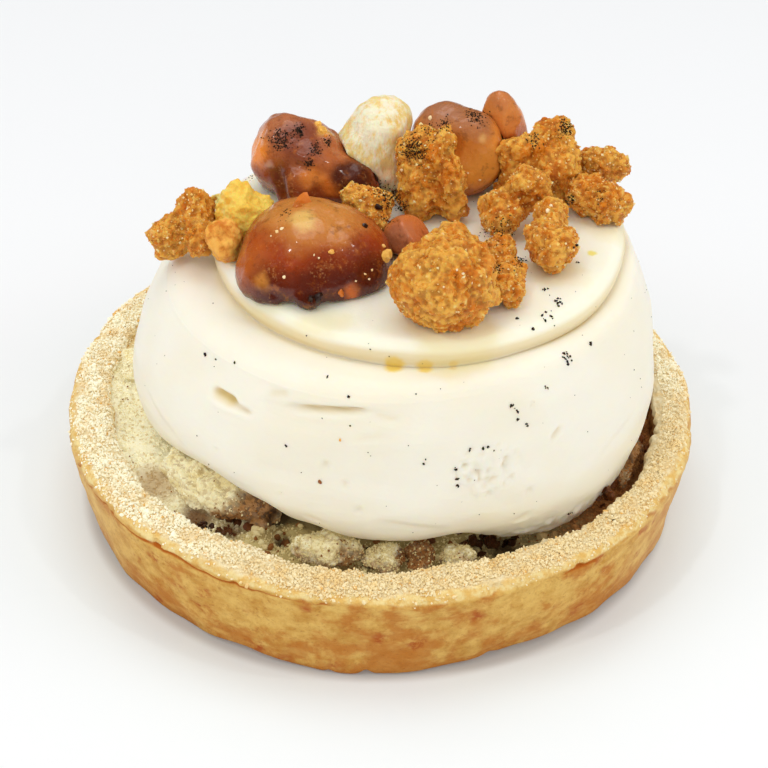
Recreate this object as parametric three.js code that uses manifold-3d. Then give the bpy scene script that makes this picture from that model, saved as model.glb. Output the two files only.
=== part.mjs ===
// Macadamia tart, in millimetres. +Z is up, -Y is the front, and the origin lies on the table under the middle
// of the shell. A crisp pastry shell holds a baked nut filling with crumble scattered on it. A tall round of
// whipped cream in two turns stands on the filling, and caramelised nuts and clusters of crumble lie heaped on it.
import * as THREE from "three";
import { mergeVertices } from "three/addons/utils/BufferGeometryUtils.js";
import Module from "manifold-3d";

const wasm = await Module();
wasm.setup();

const GAP = 0.3; // left between two pieces that touch

// Pastry shell
const RIM_RADIUS = 40;
const SHELL_HEIGHT = 13.4;
const RIM_WIDTH = 4.9;
const RIM_ROUNDING = 0.6;
const BASE_RADIUS = 37.9;
const FLOOR = 3;
const BASE_FLAT = 33; // radius of the flat that the tart rests on
const INNER_RADIUS = RIM_RADIUS - RIM_WIDTH;

// Filling: its crust is high at the left and back, and sunk at the front and right
const FILLING_MIDDLE = 11; // height under the cream
const FILLING_HIGH = 12.7;
const FILLING_LOW = 9.6;
const CRUST_BUMPS = 0.45; // how far its bumps rise over its level
const FILLING_WALL = INNER_RADIUS - 0.5 - GAP;

// Cream: a bulging lower turn and a flatter upper one, set off to the right and back
const CREAM_FOOT = FILLING_MIDDLE + GAP;
const CREAM_LIP = 13.6; // height where the side curls under
const LIP_REACH = 12; // how far up the side the lip's rise and dent are felt
const CREAM_RADIUS = 32.6;
const SHOULDER_HEIGHT = 34.3;
const CREAM_TOP = 37.1;
const UPPER_RADIUS = 25.1;
const LOWER_CENTRE = new THREE.Vector2(1.5, 0);
const UPPER_CENTRE = new THREE.Vector2(4.4, 1.5);
const CREAM_TILT = 0.03; // the cream rises to the right by this share of the way across

const COLOURS = {
  pastry: 0xd3a262,
  filling: 0xcbbf98,
  crumble: 0xc7ab72,
  cream: 0xf2ecdf,
  caramel: 0x93481f,
  toffee: 0xbf6c2a,
  cluster: 0xc58a43,
  golden: 0xe2b566,
  dusted: 0xeddcb4,
};

const nearly = THREE.MathUtils.smoothstep;
const radians = THREE.MathUtils.degToRad;

// An uneven line round the tart: a sum of waves, each [how many, how high, where it starts in degrees].
function uneven(angle, ...waves) {
  return waves.reduce((sum, [count, size, start]) => sum + size * Math.sin(count * (angle - radians(start))), 0);
}

// One bump of the given height and half width, in degrees, at a place round the tart.
function bumpAt(angle, place, halfWidth, height) {
  const away = THREE.MathUtils.euclideanModulo(angle - radians(place) + Math.PI, 2 * Math.PI) - Math.PI;
  return height * Math.exp(-((away / radians(halfWidth)) ** 2));
}

// Turns a profile of [radius, height] about Z. form() then moves each point, given its angle and its profile row.
function revolve(profile, steps, form) {
  const outline = profile.map(([radius, height]) => new THREE.Vector2(radius, height));
  const geometry = new THREE.LatheGeometry(outline, steps).rotateX(Math.PI / 2);
  const position = geometry.getAttribute("position");
  const point = new THREE.Vector3();
  for (let i = 0; i < position.count; i++) {
    point.fromBufferAttribute(position, i);
    form(point, Math.atan2(point.y, point.x), i % outline.length);
    position.setXYZ(i, point.x, point.y, point.z);
  }
  return geometry;
}

function pushOut(point, angle, distance) {
  point.x += distance * Math.cos(angle);
  point.y += distance * Math.sin(angle);
}

// A closed geometry as a solid that can be joined and cut, and back again.
function solid(geometry) {
  const bare = geometry.clone();
  bare.deleteAttribute("normal");
  bare.deleteAttribute("uv");
  const merged = mergeVertices(bare, 1e-4);
  const triVerts = new Uint32Array(merged.index.array);
  const vertProperties = merged.getAttribute("position").array;
  return new wasm.Manifold(new wasm.Mesh({ numProp: 3, vertProperties, triVerts }));
}

function geometryOf(body) {
  const { vertProperties, triVerts } = body.getMesh();
  const geometry = new THREE.BufferGeometry();
  geometry.setAttribute("position", new THREE.BufferAttribute(vertProperties, 3));
  geometry.setIndex(new THREE.BufferAttribute(triVerts, 1));
  geometry.computeVertexNormals();
  return geometry;
}

// Cutting can leave crumbs: only the largest body is kept.
function largest(body) {
  return body.decompose().reduce((best, next) => (next.volume() > best.volume() ? next : best));
}

const tart = new THREE.Group();

function addPiece(name, body, colour, roughness) {
  const material = new THREE.MeshStandardMaterial({ color: COLOURS[colour], roughness, metalness: 0 });
  const mesh = new THREE.Mesh(geometryOf(largest(body)), material);
  mesh.name = name;
  tart.add(mesh);
}

// Pastry shell: a shallow cup with leaning walls. Its foot lifts off the table here and there, its rim is filed
// flat but stays uneven, and the inner edge of the rim is ragged.
function pastryShell() {
  const profile = [
    [0, 0],
    [BASE_FLAT, 0],
    [BASE_RADIUS - 0.7, 0.1],
    [BASE_RADIUS, 0.9],
    [THREE.MathUtils.lerp(BASE_RADIUS, RIM_RADIUS, 0.55), 0.5 * SHELL_HEIGHT],
    [RIM_RADIUS, SHELL_HEIGHT - 2 * RIM_ROUNDING],
    [RIM_RADIUS - RIM_ROUNDING, SHELL_HEIGHT - 0.2],
    [RIM_RADIUS - 0.5 * RIM_WIDTH, SHELL_HEIGHT],
    [INNER_RADIUS + RIM_ROUNDING, SHELL_HEIGHT - 0.1],
    [INNER_RADIUS, SHELL_HEIGHT - 2 * RIM_ROUNDING],
    [INNER_RADIUS - 0.5, 0.5 * SHELL_HEIGHT],
    [INNER_RADIUS - 1.4, FLOOR],
    [0, FLOOR],
  ];
  const foot = [2, 3];
  const edge = [5, 6];
  const rim = [6, 7, 8];
  const inside = [8, 9];
  return revolve(profile, 72, (point, angle, row) => {
    if (foot.includes(row)) {
      point.z += bumpAt(angle, 249, 8, 0.7) + bumpAt(angle, 306, 22, 0.9) + bumpAt(angle, 200, 14, 0.5);
      point.z += bumpAt(angle, 95, 25, 0.6) + bumpAt(angle, 30, 15, 0.5);
      pushOut(point, angle, uneven(angle, [5, 0.2, 20], [11, 0.15, 8]));
    }
    if (edge.includes(row)) pushOut(point, angle, uneven(angle, [6, 0.12, 10], [13, 0.1, 0]));
    if (rim.includes(row)) point.z += uneven(angle, [3, 0.15, 40], [8, 0.15, 5], [17, 0.08, 0]);
    if (inside.includes(row)) pushOut(point, angle, uneven(angle, [7, 0.25, 0], [19, 0.25, 4]));
  });
}

// The height of the filling's top without its bumps, round the ring that the cream leaves bare and under the cream.
function fillingLevel(radius, angle) {
  const bare = nearly(radius, FILLING_WALL - 8, FILLING_WALL - 5);
  const level = 0.5 * (FILLING_HIGH + FILLING_LOW) + 0.5 * (FILLING_HIGH - FILLING_LOW) * Math.cos(angle - radians(150));
  return { bare, level: THREE.MathUtils.lerp(FILLING_MIDDLE, level, bare) };
}

// The height of the filling's top: its crust rises and sinks round the bare ring.
function fillingTop(radius, angle) {
  const { bare, level } = fillingLevel(radius, angle);
  return level + bare * uneven(angle, [4, 0.25, 20 * radius], [9, 0.2, 35 * radius]);
}

const TOP_ROWS = [FILLING_WALL, FILLING_WALL - 1.6, FILLING_WALL - 3.4, FILLING_WALL - 5, FILLING_WALL - 8, 0];

// Filling: a baked sponge of ground nuts that fills the shell up to its uneven top.
function nutFilling() {
  const below = [
    [0, FLOOR + GAP],
    [FILLING_WALL - 0.9, FLOOR + GAP],
    [FILLING_WALL, 0.5 * SHELL_HEIGHT],
  ];
  const profile = [...below, ...TOP_ROWS.map((radius) => [radius, 0])];
  return revolve(profile, 60, (point, angle, row) => {
    if (row >= below.length) point.z = fillingTop(TOP_ROWS[row - below.length], angle);
  });
}

// The room above the filling, inside the rim, that the crumble keeps to.
function roomAbove() {
  const lid = 2 * SHELL_HEIGHT;
  const profile = [...TOP_ROWS.map((radius) => [radius, 0]).reverse(), [FILLING_WALL, lid], [0, lid]];
  return revolve(profile, 60, (point, angle, row) => {
    if (row < TOP_ROWS.length) point.z = fillingTop(TOP_ROWS[TOP_ROWS.length - 1 - row], angle) + GAP;
  });
}

// How far the cream's lip rises over the crumble, or droops where the number is below 0.
function lipRise(angle) {
  const left = bumpAt(angle, 237, 27, 3.4) + bumpAt(angle, 248, 4, -0.7);
  const front = bumpAt(angle, 260, 9, -1.2) + bumpAt(angle, 285, 8, 1.4);
  return left + front + bumpAt(angle, 325, 30, -2.4) + bumpAt(angle, 308, 14, -1.5);
}

// How far the crumble at the front left has pressed the lip in.
function lipDent(angle) {
  return bumpAt(angle, 223, 15, 0.8);
}

// Cream: the side of the lower turn is one bulging curve. The lip droops unevenly over the crumble, and both
// turns lean a little to the right. grow swells the whole body, to cut what touches it.
function creamTurns(grow = 0) {
  const side = new THREE.SplineCurve([
    new THREE.Vector2(CREAM_RADIUS - 5, CREAM_LIP - 1.4),
    new THREE.Vector2(CREAM_RADIUS - 2, CREAM_LIP),
    new THREE.Vector2(CREAM_RADIUS - 0.4, CREAM_LIP + 3),
    new THREE.Vector2(CREAM_RADIUS, CREAM_LIP + 7.2),
    new THREE.Vector2(CREAM_RADIUS - 0.8, CREAM_LIP + 12.4),
    new THREE.Vector2(CREAM_RADIUS - 2.3, CREAM_LIP + 16.6),
    new THREE.Vector2(CREAM_RADIUS - 3.8, CREAM_LIP + 19.3),
    new THREE.Vector2(CREAM_RADIUS - 5.4, SHOULDER_HEIGHT - 0.1),
    new THREE.Vector2(CREAM_RADIUS - 7.6, SHOULDER_HEIGHT),
  ]);
  const lower = [
    [0, CREAM_FOOT],
    [CREAM_RADIUS - 8, CREAM_FOOT],
    ...side.getPoints(11).map((p) => [p.x, p.y]),
    [0, SHOULDER_HEIGHT + 0.1],
  ];
  const middle = 0.5 * (CREAM_FOOT + SHOULDER_HEIGHT);
  const lean = (point) => {
    point.z += CREAM_TILT * point.x * nearly(point.z, middle, SHOULDER_HEIGHT);
  };
  const lowerTurn = revolve(lower, 60, (point, angle, row) => {
    const high = nearly(point.z, middle, SHOULDER_HEIGHT);
    const low = 1 - nearly(point.z, CREAM_LIP, CREAM_LIP + LIP_REACH);
    if (row > 1 && low > 0) {
      point.z += low * (lipRise(angle) + uneven(angle, [9, 0.25, 12]) + 0.3);
      point.z = Math.max(point.z, fillingLevel(Math.hypot(point.x, point.y), angle).level + CRUST_BUMPS + GAP);
    }
    const waves = uneven(angle, [3, 0.2, 70], [5, 0.15, 30]);
    if (row > 0 && row < lower.length - 1) pushOut(point, angle, grow + waves - low * lipDent(angle));
    point.x += THREE.MathUtils.lerp(LOWER_CENTRE.x, LOWER_CENTRE.x + 0.8, high);
    point.y += LOWER_CENTRE.y;
    lean(point);
    point.z += row < 4 ? -grow : grow;
  });
  const upper = [
    [0, SHOULDER_HEIGHT - 2],
    [UPPER_RADIUS - 1, SHOULDER_HEIGHT - 2],
    [UPPER_RADIUS, SHOULDER_HEIGHT + 0.2],
    [UPPER_RADIUS + 0.2, CREAM_TOP - 1.5],
    [UPPER_RADIUS - 0.5, CREAM_TOP - 0.5],
    [UPPER_RADIUS - 2, CREAM_TOP],
    [UPPER_RADIUS - 8, CREAM_TOP - 0.1],
    [0, CREAM_TOP - 0.4],
  ];
  const upperTurn = revolve(upper, 48, (point, angle, row) => {
    if (row > 0 && row < upper.length - 1) pushOut(point, angle, grow + uneven(angle, [3, 0.3, 15], [7, 0.12, 0]));
    point.x += UPPER_CENTRE.x;
    point.y += UPPER_CENTRE.y;
    lean(point);
    if (row > 1) point.z += grow;
  });
  return solid(lowerTurn).add(solid(upperTurn));
}

// One lobe of a nut or a crumb: an egg shape with half sizes along X, Y and Z, tipped towards +X and then turned
// about Z, both in degrees.
function lobe(at, half, { turn = 0, tip = 0 } = {}) {
  return { at: new THREE.Vector3(...at), half: new THREE.Vector3(...half), turn: radians(turn), tip: radians(tip) };
}

// How far a ray from inside a lump runs before it leaves one of its lobes, or 0 where it misses that lobe.
function reach({ at, half, turn, tip }, grow, origin, direction) {
  const swollen = half.clone().addScalar(grow);
  const turned = new THREE.Quaternion().setFromEuler(new THREE.Euler(0, tip, turn, "ZYX"));
  const inward = new THREE.Matrix4().compose(at, turned, swollen).invert();
  const start = origin.clone().applyMatrix4(inward);
  const step = origin.clone().add(direction).applyMatrix4(inward).sub(start);
  const [a, b, c] = [step.lengthSq(), start.dot(step), start.lengthSq() - 1];
  const root = b * b - a * c;
  return root < 0 ? 0 : Math.max(0, (Math.sqrt(root) - b) / a);
}

// A lump: one bumpy skin over lobes that overlap, with soft creases between them. rough is the height of the
// bumps as a share of its size, and grow swells it, to cut what touches it.
const SOFTNESS = 10;
function lump(lobes, { rough, detail }, grow = 0) {
  const centre = new THREE.Vector3();
  lobes.forEach(({ at }) => centre.addScaledVector(at, 1 / lobes.length));
  const box = new THREE.Box3();
  lobes.forEach(({ at, half }) => box.expandByPoint(at.clone().add(half)).expandByPoint(at.clone().sub(half)));
  const stretch = box.getSize(new THREE.Vector3());
  const ball = new THREE.IcosahedronGeometry(1, detail);
  const position = ball.getAttribute("position");
  const way = new THREE.Vector3();
  for (let i = 0; i < position.count; i++) {
    way.fromBufferAttribute(position, i).multiply(stretch).normalize();
    const total = lobes.reduce((sum, each) => sum + reach(each, grow, centre, way) ** SOFTNESS, 0);
    const waves = Math.sin(5 * way.x + centre.x) + Math.sin(6 * way.y + centre.y) + Math.sin(5 * way.z + centre.x);
    way.multiplyScalar(total ** (1 / SOFTNESS) * (1 + 0.6 * rough * waves)).add(centre);
    position.setXYZ(i, way.x, way.y, way.z);
  }
  return solid(ball);
}

const shell = solid(pastryShell());
const filling = solid(nutFilling());
const cream = creamTurns();
addPiece("tart_shell", shell, "pastry", 0.85);
addPiece("nut_filling", filling, "filling", 0.95);
addPiece("cream", cream, "cream", 0.5);

const creamSwollen = creamTurns(GAP);
const placed = []; // every lump so far, grown by the gap

// Adds a lump that keeps clear of the cream and of the lumps before it.
function addLump(name, colour, roughness, finish, lobes, trim = (body) => body) {
  const body = trim(lump(lobes, finish)).subtract(creamSwollen);
  const clear = placed.reduce((rest, other) => rest.subtract(other), body);
  placed.push(lump(lobes, finish, GAP));
  addPiece(name, clear, colour, roughness);
}

const SMOOTH = { rough: 0.02, detail: 3 };
const DENTED = { rough: 0.05, detail: 3 };
const CRUMB = { rough: 0.1, detail: 3 };
const SMALL_CRUMB = { rough: 0.1, detail: 2 };
const MORSEL = { rough: 0.1, detail: 1 };

// Crumble on the filling: broken lumps of baked crumb round the foot of the cream, which presses on them.
const room = solid(roomAbove());
const crumble = [
  [
    lobe([-22.6, -17.4, 13], [3.1, 3.6, 2.6]),
    lobe([-19.2, -21.2, 13.2], [4.4, 3.6, 2.9], { turn: -30 }),
    lobe([-14.4, -23.8, 12.6], [3.8, 2.5, 2.3], { turn: -20 }),
  ],
  [lobe([-5.8, -29.4, 11.6], [4.3, 2.7, 2.2])],
  [lobe([0.9, -30.2, 11.2], [2.6, 2.2, 1.8])],
  [lobe([5, -29.6, 11], [2, 2.2, 1.8])],
  [lobe([9.2, -29.8, 11.2], [2.5, 2.2, 1.8])],
  [lobe([-32.8, 4.6, 13], [1.7, 3.4, 1.9])],
  [lobe([31.4, -11, 10.6], [2.4, 4.6, 2.6], { turn: -18 })],
  [lobe([25.8, 22, 11.4], [3.6, 2.8, 2.6], { turn: -45 })],
  [lobe([-14, 29.6, 12.6], [4.2, 2.6, 2.4], { turn: 20 })],
];
crumble.forEach((lobes, index) => {
  const finish = [CRUMB, SMALL_CRUMB][index] ?? MORSEL;
  addLump(`filling_crumble_${index + 1}`, "crumble", 0.95, finish, lobes, (body) => body.intersect(room));
});

// Toppings, from the ones that keep their whole shape to the ones that lie against them.
addLump("nut_front", "caramel", 0.3, SMOOTH, [
  lobe([-9, -7.2, 37.6], [8, 8, 7.1]),
  lobe([-4.2, -8, 37.4], [5.4, 6.2, 5.6]),
  lobe([-11, -10.4, 37.8], [6.2, 5.2, 3.8]),
]);
addLump("nut_left", "caramel", 0.35, { rough: 0.03, detail: 3 }, [
  lobe([-13.4, 10.9, 41.5], [3.4, 4.4, 5.3]),
  lobe([-9.4, 9.8, 42], [4.3, 4.6, 4]),
  lobe([-10.6, 6.6, 39.8], [3, 3.2, 3.1]),
  lobe([-5.6, 7.4, 40], [4.6, 3.3, 3.1], { tip: 15 }),
]);
addLump("nut_dusted", "dusted", 0.7, DENTED, [
  lobe([-0.8, 12.2, 44.6], [3.5, 3.5, 4.6]),
  lobe([-1.4, 11.5, 41.4], [5, 4.4, 4.6]),
  lobe([-4.2, 10.4, 41.6], [2.9, 3, 2.6]),
]);
addLump("cluster_middle", "cluster", 0.75, CRUMB, [
  lobe([5.5, 6.6, 45], [4, 3, 3.5]),
  lobe([8.4, 4.2, 41.2], [2.5, 2.5, 4.6]),
  lobe([4.4, 5, 40.4], [3.1, 2.8, 3.7]),
]);
addLump("nut_back", "toffee", 0.35, DENTED, [
  lobe([10.4, 11.4, 41.9], [4.3, 4.4, 5.8]),
  lobe([7.2, 13, 43.2], [4.5, 3.6, 4.1]),
]);
addLump("cluster_front", "cluster", 0.75, { rough: 0.03, detail: 3 }, [
  lobe([7.1, -17.7, 41.8], [6.2, 5.6, 5.9]),
  lobe([7.7, -11, 41.4], [3.5, 3.4, 3.9]),
]);
addLump("cluster_front_side", "cluster", 0.7, SMALL_CRUMB, [
  lobe([13.2, -9, 39.8], [2.5, 2.6, 2.8]),
  lobe([14.5, -13.2, 39.4], [2.4, 3.2, 2.8]),
]);
addLump("nut_chip", "toffee", 0.35, { rough: 0.02, detail: 2 }, [lobe([2.6, -3.2, 38.8], [2.6, 2.8, 2.2])]);
addLump("cluster_small", "cluster", 0.75, SMALL_CRUMB, [
  lobe([-2.3, 1.8, 39.8], [3.4, 2.4, 3]),
  lobe([-0.8, -1, 38.6], [1.5, 1.9, 1.6]),
]);
addLump("cluster_right_drop", "cluster", 0.75, SMALL_CRUMB, [
  lobe([20.3, -2.2, 41], [2.3, 2.4, 2.8]),
  lobe([19.8, -6.6, 40.4], [3.4, 3.3, 3.4]),
]);
addLump("cluster_right_stick", "cluster", 0.75, SMALL_CRUMB, [
  lobe([14.2, 0.9, 39.8], [3.1, 2.6, 2.9]),
  lobe([17.7, 2.9, 42.6], [2.8, 2.4, 2.9]),
]);
addLump("cluster_right_bar", "cluster", 0.75, CRUMB, [
  lobe([20.8, 11, 44.8], [3.2, 2.4, 2.5], { tip: -25 }),
  lobe([17, 9.6, 42.8], [3.3, 2.6, 3], { tip: -35 }),
  lobe([21.6, 8.6, 41.2], [2.9, 3.2, 4.2]),
  lobe([15.8, 8.2, 39.8], [2.2, 2.4, 2.6]),
]);
addLump("cluster_right_lump", "cluster", 0.75, SMALL_CRUMB, [
  lobe([24.9, 5.4, 40.2], [2.7, 2.8, 3]),
  lobe([27.2, 3.4, 39.4], [2.7, 3, 3.1]),
]);
addLump("cluster_right_bean", "cluster", 0.7, SMALL_CRUMB, [
  lobe([25, 10.9, 41.7], [2.6, 2, 2.1]),
  lobe([28, 10.6, 41.3], [2.5, 2.1, 2.3]),
  lobe([25.4, 11.2, 39], [2.6, 2.4, 2.8]),
]);
addLump("nut_wedge", "toffee", 0.35, { rough: 0.02, detail: 2 }, [
  lobe([14.8, 14.2, 43.2], [2.7, 2.6, 6], { tip: -14 }),
]);
addLump("cluster_left", "cluster", 0.7, CRUMB, [
  lobe([-26.2, -0.8, 36.2], [2.5, 2.6, 3.3], { tip: 12 }),
  lobe([-23, 0.4, 39.2], [2.6, 2.5, 3.3]),
  lobe([-22.2, -2.2, 37.4], [2.4, 2.2, 2.4]),
]);
addLump("nut_pale", "golden", 0.5, { rough: 0.05, detail: 2 }, [
  lobe([-17.9, 1, 39.8], [3.9, 2.9, 3.3]),
  lobe([-15.8, -0.8, 38.8], [2.8, 2.7, 2.6]),
]);
addLump("nut_sliver", "toffee", 0.5, SMALL_CRUMB, [lobe([-18.8, -4.8, 38.3], [1.8, 1.7, 2.8], { tip: -18 })]);

export default tart;
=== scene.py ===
import math

import bmesh
import bpy
import numpy as np
from mathutils import Matrix, Vector, noise
from mathutils.bvhtree import BVHTree


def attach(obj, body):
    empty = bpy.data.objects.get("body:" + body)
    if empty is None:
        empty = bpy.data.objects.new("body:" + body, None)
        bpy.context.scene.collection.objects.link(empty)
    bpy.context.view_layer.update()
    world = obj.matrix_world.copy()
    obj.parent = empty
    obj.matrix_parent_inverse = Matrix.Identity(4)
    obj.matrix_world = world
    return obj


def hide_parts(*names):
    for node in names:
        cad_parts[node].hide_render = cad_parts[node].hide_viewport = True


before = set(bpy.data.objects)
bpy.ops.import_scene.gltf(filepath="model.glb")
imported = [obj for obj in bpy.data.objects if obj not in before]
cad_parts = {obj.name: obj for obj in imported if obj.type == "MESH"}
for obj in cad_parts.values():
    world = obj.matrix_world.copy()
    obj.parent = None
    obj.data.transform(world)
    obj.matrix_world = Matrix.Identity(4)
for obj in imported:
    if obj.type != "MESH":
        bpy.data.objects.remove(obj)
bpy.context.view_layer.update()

MM = 0.001  # lengths below are in millimetres, as a baker measures


# Table and light
# The tart stands alone on a white table that runs out of sight. It is lit as in a photographer's light tent:
# white all round, with large soft lamps at both sides and above. Two small ones give the glaze its glints.
PHOTO_SIDE = 768  # pixels
CAMERA_PLACE = (0.36, -209.057, 168.931)
CAMERA_DOWN = math.radians(36.48)
CAMERA_ROLL = math.radians(1.3)
CAMERA_REACH = 20  # metres
LENS = 2025 / PHOTO_SIDE  # focal length as a share of the picture's width
SENSOR = 36
TENT_LIGHT = 0.62
TABLE_SIDE = 6000
FOOT_SHADOW = ((-0.4, -0.9, 0), 37.2, 38.9)  # (middle, all dark within, none beyond)
LAMPS = {  # name: (place, width, watts, whether the glaze mirrors it)
    "lamp_left": ((-420, -160, 330), 300, 0.54, False),
    "lamp_right": ((460, -60, 300), 300, 0.6, False),
    "lamp_front": ((60, -460, 210), 320, 0.26, False),
    "lamp_top": ((-20, 160, 520), 320, 0.62, True),
    "glint_left": ((-150, -130, 420), 24, 0.16, True),
    "glint_right": ((190, -60, 400), 20, 0.1, True),
}

camera = bpy.data.objects.new("camera", bpy.data.cameras.new("camera"))
camera.data.sensor_width = SENSOR
camera.data.lens = SENSOR * LENS
camera.data.clip_end = CAMERA_REACH
camera.matrix_world = (
    Matrix.Translation(Vector(CAMERA_PLACE) * MM)
    @ Matrix.Rotation(math.pi / 2 - CAMERA_DOWN, 4, "X")
    @ Matrix.Rotation(CAMERA_ROLL, 4, "Z")
)
bpy.context.scene.collection.objects.link(camera)
bpy.context.scene.camera = camera
bpy.context.scene.view_settings.view_transform = "Standard"

world = bpy.data.worlds.new("tent")
world.use_nodes = True
tent = world.node_tree.nodes["Background"].inputs
tent["Color"].default_value = (1, 1, 1, 1)
tent["Strength"].default_value = TENT_LIGHT
world.cycles_visibility.glossy = False  # so that dark glaze stays dark
bpy.context.scene.world = world

for name, (place, width, watts, mirrored) in LAMPS.items():
    lamp = bpy.data.objects.new(name, bpy.data.lights.new(name, "AREA"))
    lamp.data.size = width * MM
    lamp.data.energy = watts
    lamp.location = Vector(place) * MM
    lamp.rotation_euler = (-lamp.location).to_track_quat("-Z", "Y").to_euler()
    lamp.visible_glossy = mirrored
    bpy.context.scene.collection.objects.link(lamp)


def tint(red, green, blue):
    """A colour given as the 0 to 255 steps of a screen, as light."""
    steps = [part / 255 for part in (red, green, blue)]
    return (*[s / 12.92 if s <= 0.04045 else ((s + 0.055) / 1.055) ** 2.4 for s in steps], 1)


class Shade:
    """A value at each point of a surface, from one node of a material. Sums and products of it add nodes."""

    def __init__(self, tree, socket):
        self.tree, self.socket = tree, socket

    def node(self, kind, settings, inputs, output=0):
        made = self.tree.nodes.new("ShaderNode" + kind)
        for name, setting in settings.items():
            setattr(made, name, setting)
        for name, value in inputs.items():
            if isinstance(value, Shade):
                self.tree.links.new(value.socket, made.inputs[name])
            else:
                made.inputs[name].default_value = value
        return Shade(self.tree, made.outputs[output])

    def maths(self, operation, *others):
        return self.node("Math", {"operation": operation}, dict(enumerate((self, *others))))

    def __add__(self, other):
        return self.maths("ADD", other)

    def __sub__(self, other):
        return self.maths("SUBTRACT", other)

    def __rsub__(self, other):
        return (self * -1).maths("ADD", other)

    def __mul__(self, other):
        return self.maths("MULTIPLY", other)

    __radd__ = __add__
    __rmul__ = __mul__

    def patches(self, size, detail=3, roughness=0.5):
        """Soft patches about size across, from 0 to 1 with 0.5 in the middle."""
        inputs = {"Vector": self, "Scale": 1 / (size * MM), "Detail": detail, "Roughness": roughness}
        return self.node("TexNoise", {}, inputs)

    def cells(self, size, output):
        return self.node("TexVoronoi", {}, {"Vector": self, "Scale": 1 / (size * MM)}, output)

    def grains(self, size):
        """Round grains about size across: 0 at the middle of a grain, about 0.7 between grains."""
        return self.cells(size, "Distance")

    def by_grain(self, size):
        """One random value from 0 to 1 for each grain."""
        return self.node("SeparateXYZ", {}, {"Vector": self.cells(size, "Color")}, "X")

    def rising(self, low, high):
        """0 below low, 1 above high, and smooth between."""
        limits = {"Value": self, "From Min": low, "From Max": high}
        return self.node("MapRange", {"interpolation_type": "SMOOTHSTEP"}, limits)

    def near(self, place, inner, outer):
        """1 within inner of a place, 0 beyond outer."""
        away = self.node("VectorMath", {"operation": "DISTANCE"}, {0: self, 1: Vector(place) * MM}, "Value")
        return 1 - (away * (1 / MM)).rising(inner, outer)

    def warped(self, size, amount):
        """The same places, pushed about by up to half the amount, so that edges drawn there are wavy."""
        colour = self.node("TexNoise", {}, {"Vector": self, "Scale": 1 / (size * MM), "Detail": 3}, "Color")
        push = self.node("VectorMath", {"operation": "SUBTRACT"}, {0: colour, 1: (0.5, 0.5, 0.5)})
        inputs = {0: push, 1: (amount * MM,) * 3, 2: self}
        return self.node("VectorMath", {"operation": "MULTIPLY_ADD"}, inputs)

    def between(self, first, second):
        """A colour that goes from first to second as this value goes from 0 to 1."""
        return self.node("Mix", {"data_type": "RGBA"}, {0: self, 6: first, 7: second}, 2)

    def stretched(self, x, y, z):
        return self.node("Mapping", {}, {"Vector": self, "Scale": (x, y, z)})

    def marked(self, name):
        """What the mesh itself says, such as how deep a point lies."""
        return self.node("Attribute", {"attribute_name": name}, {}, "Fac")

    def along(self, axis):
        """How far a place lies along X, Y or Z, in millimetres."""
        return self.node("SeparateXYZ", {}, {"Vector": self}, axis) * (1 / MM)

    def as_bump(self, strength=1):
        """Relief whose height is this value in millimetres."""
        return self.node("Bump", {}, {"Height": self, "Distance": MM, "Strength": strength})


def surface(name, constants, paint):
    """A material. paint(place) gives what varies over the surface, by the shader's socket names."""
    material = bpy.data.materials.new(name)
    material.use_nodes = True
    tree = material.node_tree
    shader = tree.nodes["Principled BSDF"]
    place = Shade(tree, tree.nodes.new("ShaderNodeTexCoord").outputs["Object"])
    for socket, value in constants.items():
        shader.inputs[socket].default_value = value
    for socket, value in paint(place).items():
        tree.links.new(value.socket, shader.inputs[socket])
    return material


def made(name, shape, material):
    """Turns a shape in millimetres into an object in metres, and lets go of the shape."""
    bmesh.ops.scale(shape, vec=(MM, MM, MM), verts=shape.verts)
    mesh = bpy.data.meshes.new(name)
    shape.to_mesh(mesh)
    shape.free()
    mesh.shade_smooth()
    mesh.materials.append(material)
    piece = bpy.data.objects.new(name, mesh)
    bpy.context.scene.collection.objects.link(piece)
    return piece


def table_paint(place):
    """White, painted cooler by the tart against its warm light, with a painted contact shadow round the foot.
    """
    # Painted cooler near the tart, to offset the warm light the pastry throws on the table
    white = place.near((0, 0, 0), 36, 66).between(tint(230, 231, 232), tint(228, 235, 236))
    # Painted contact shadow where the foot nearly touches the table
    return {"Base Color": (place.near(*FOOT_SHADOW) * 0.6).between(white, tint(158, 146, 130))}


table = bmesh.new()
bmesh.ops.create_grid(table, x_segments=4, y_segments=4, size=TABLE_SIDE / 2)
table_body = {"Roughness": 0.8, "Emission Color": (0.95, 0.98, 1, 1), "Emission Strength": 0.1}
made("table", table, surface("table_white", table_body, table_paint))


# Pastry shell
# A shallow cup of short pastry, pressed into a ring, baked golden and filed flat at the rim. Its wall leans
# out, mottled brown and a little bumpy. Its foot lifts off the table here and there, and a crack runs just
# under the rim.
RIM_RADIUS = 40
SHELL_HEIGHT = 13.4
RIM_WIDTH = 4.9
RIM_ROUNDING = 0.6
BASE_RADIUS = 37.9
FLOOR = 3
BASE_FLAT = 33
INNER_RADIUS = RIM_RADIUS - RIM_WIDTH
WALL_SPACING = 0.3  # of the points on the wall
EDGE_SPACING = 0.2  # and of those on the edge and the rim, for the crack, the chips and the crumb
COARSE = 3  # and of those that are hidden
SHELL_STEPS = 760

# Places round the tart: (degrees, half width in degrees, height)
FOOT_LIFTS = [
    (246, 9, 0.8),
    (305, 24, 1),
    (200, 14, 0.5),
    (95, 25, 0.6),
    (30, 15, 0.5),
    (268.5, 1, 0.6),
    (262, 0.8, 0.3),
    (291, 1.2, 0.4),
]
CRACKS = [(230, 28, 1.4), (307, 5, 1), (60, 20, 0.8), (150, 12, 0.7)]


def uneven(angle, *waves):
    """A sum of waves round the tart, each (how many, how high, where it starts in degrees)."""
    return sum(size * math.sin(count * (angle - math.radians(start))) for count, size, start in waves)


def bell(away, half_width):
    """1 in the middle, and nearly 0 from two half widths on."""
    return math.exp(-((away / half_width) ** 2))


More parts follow.
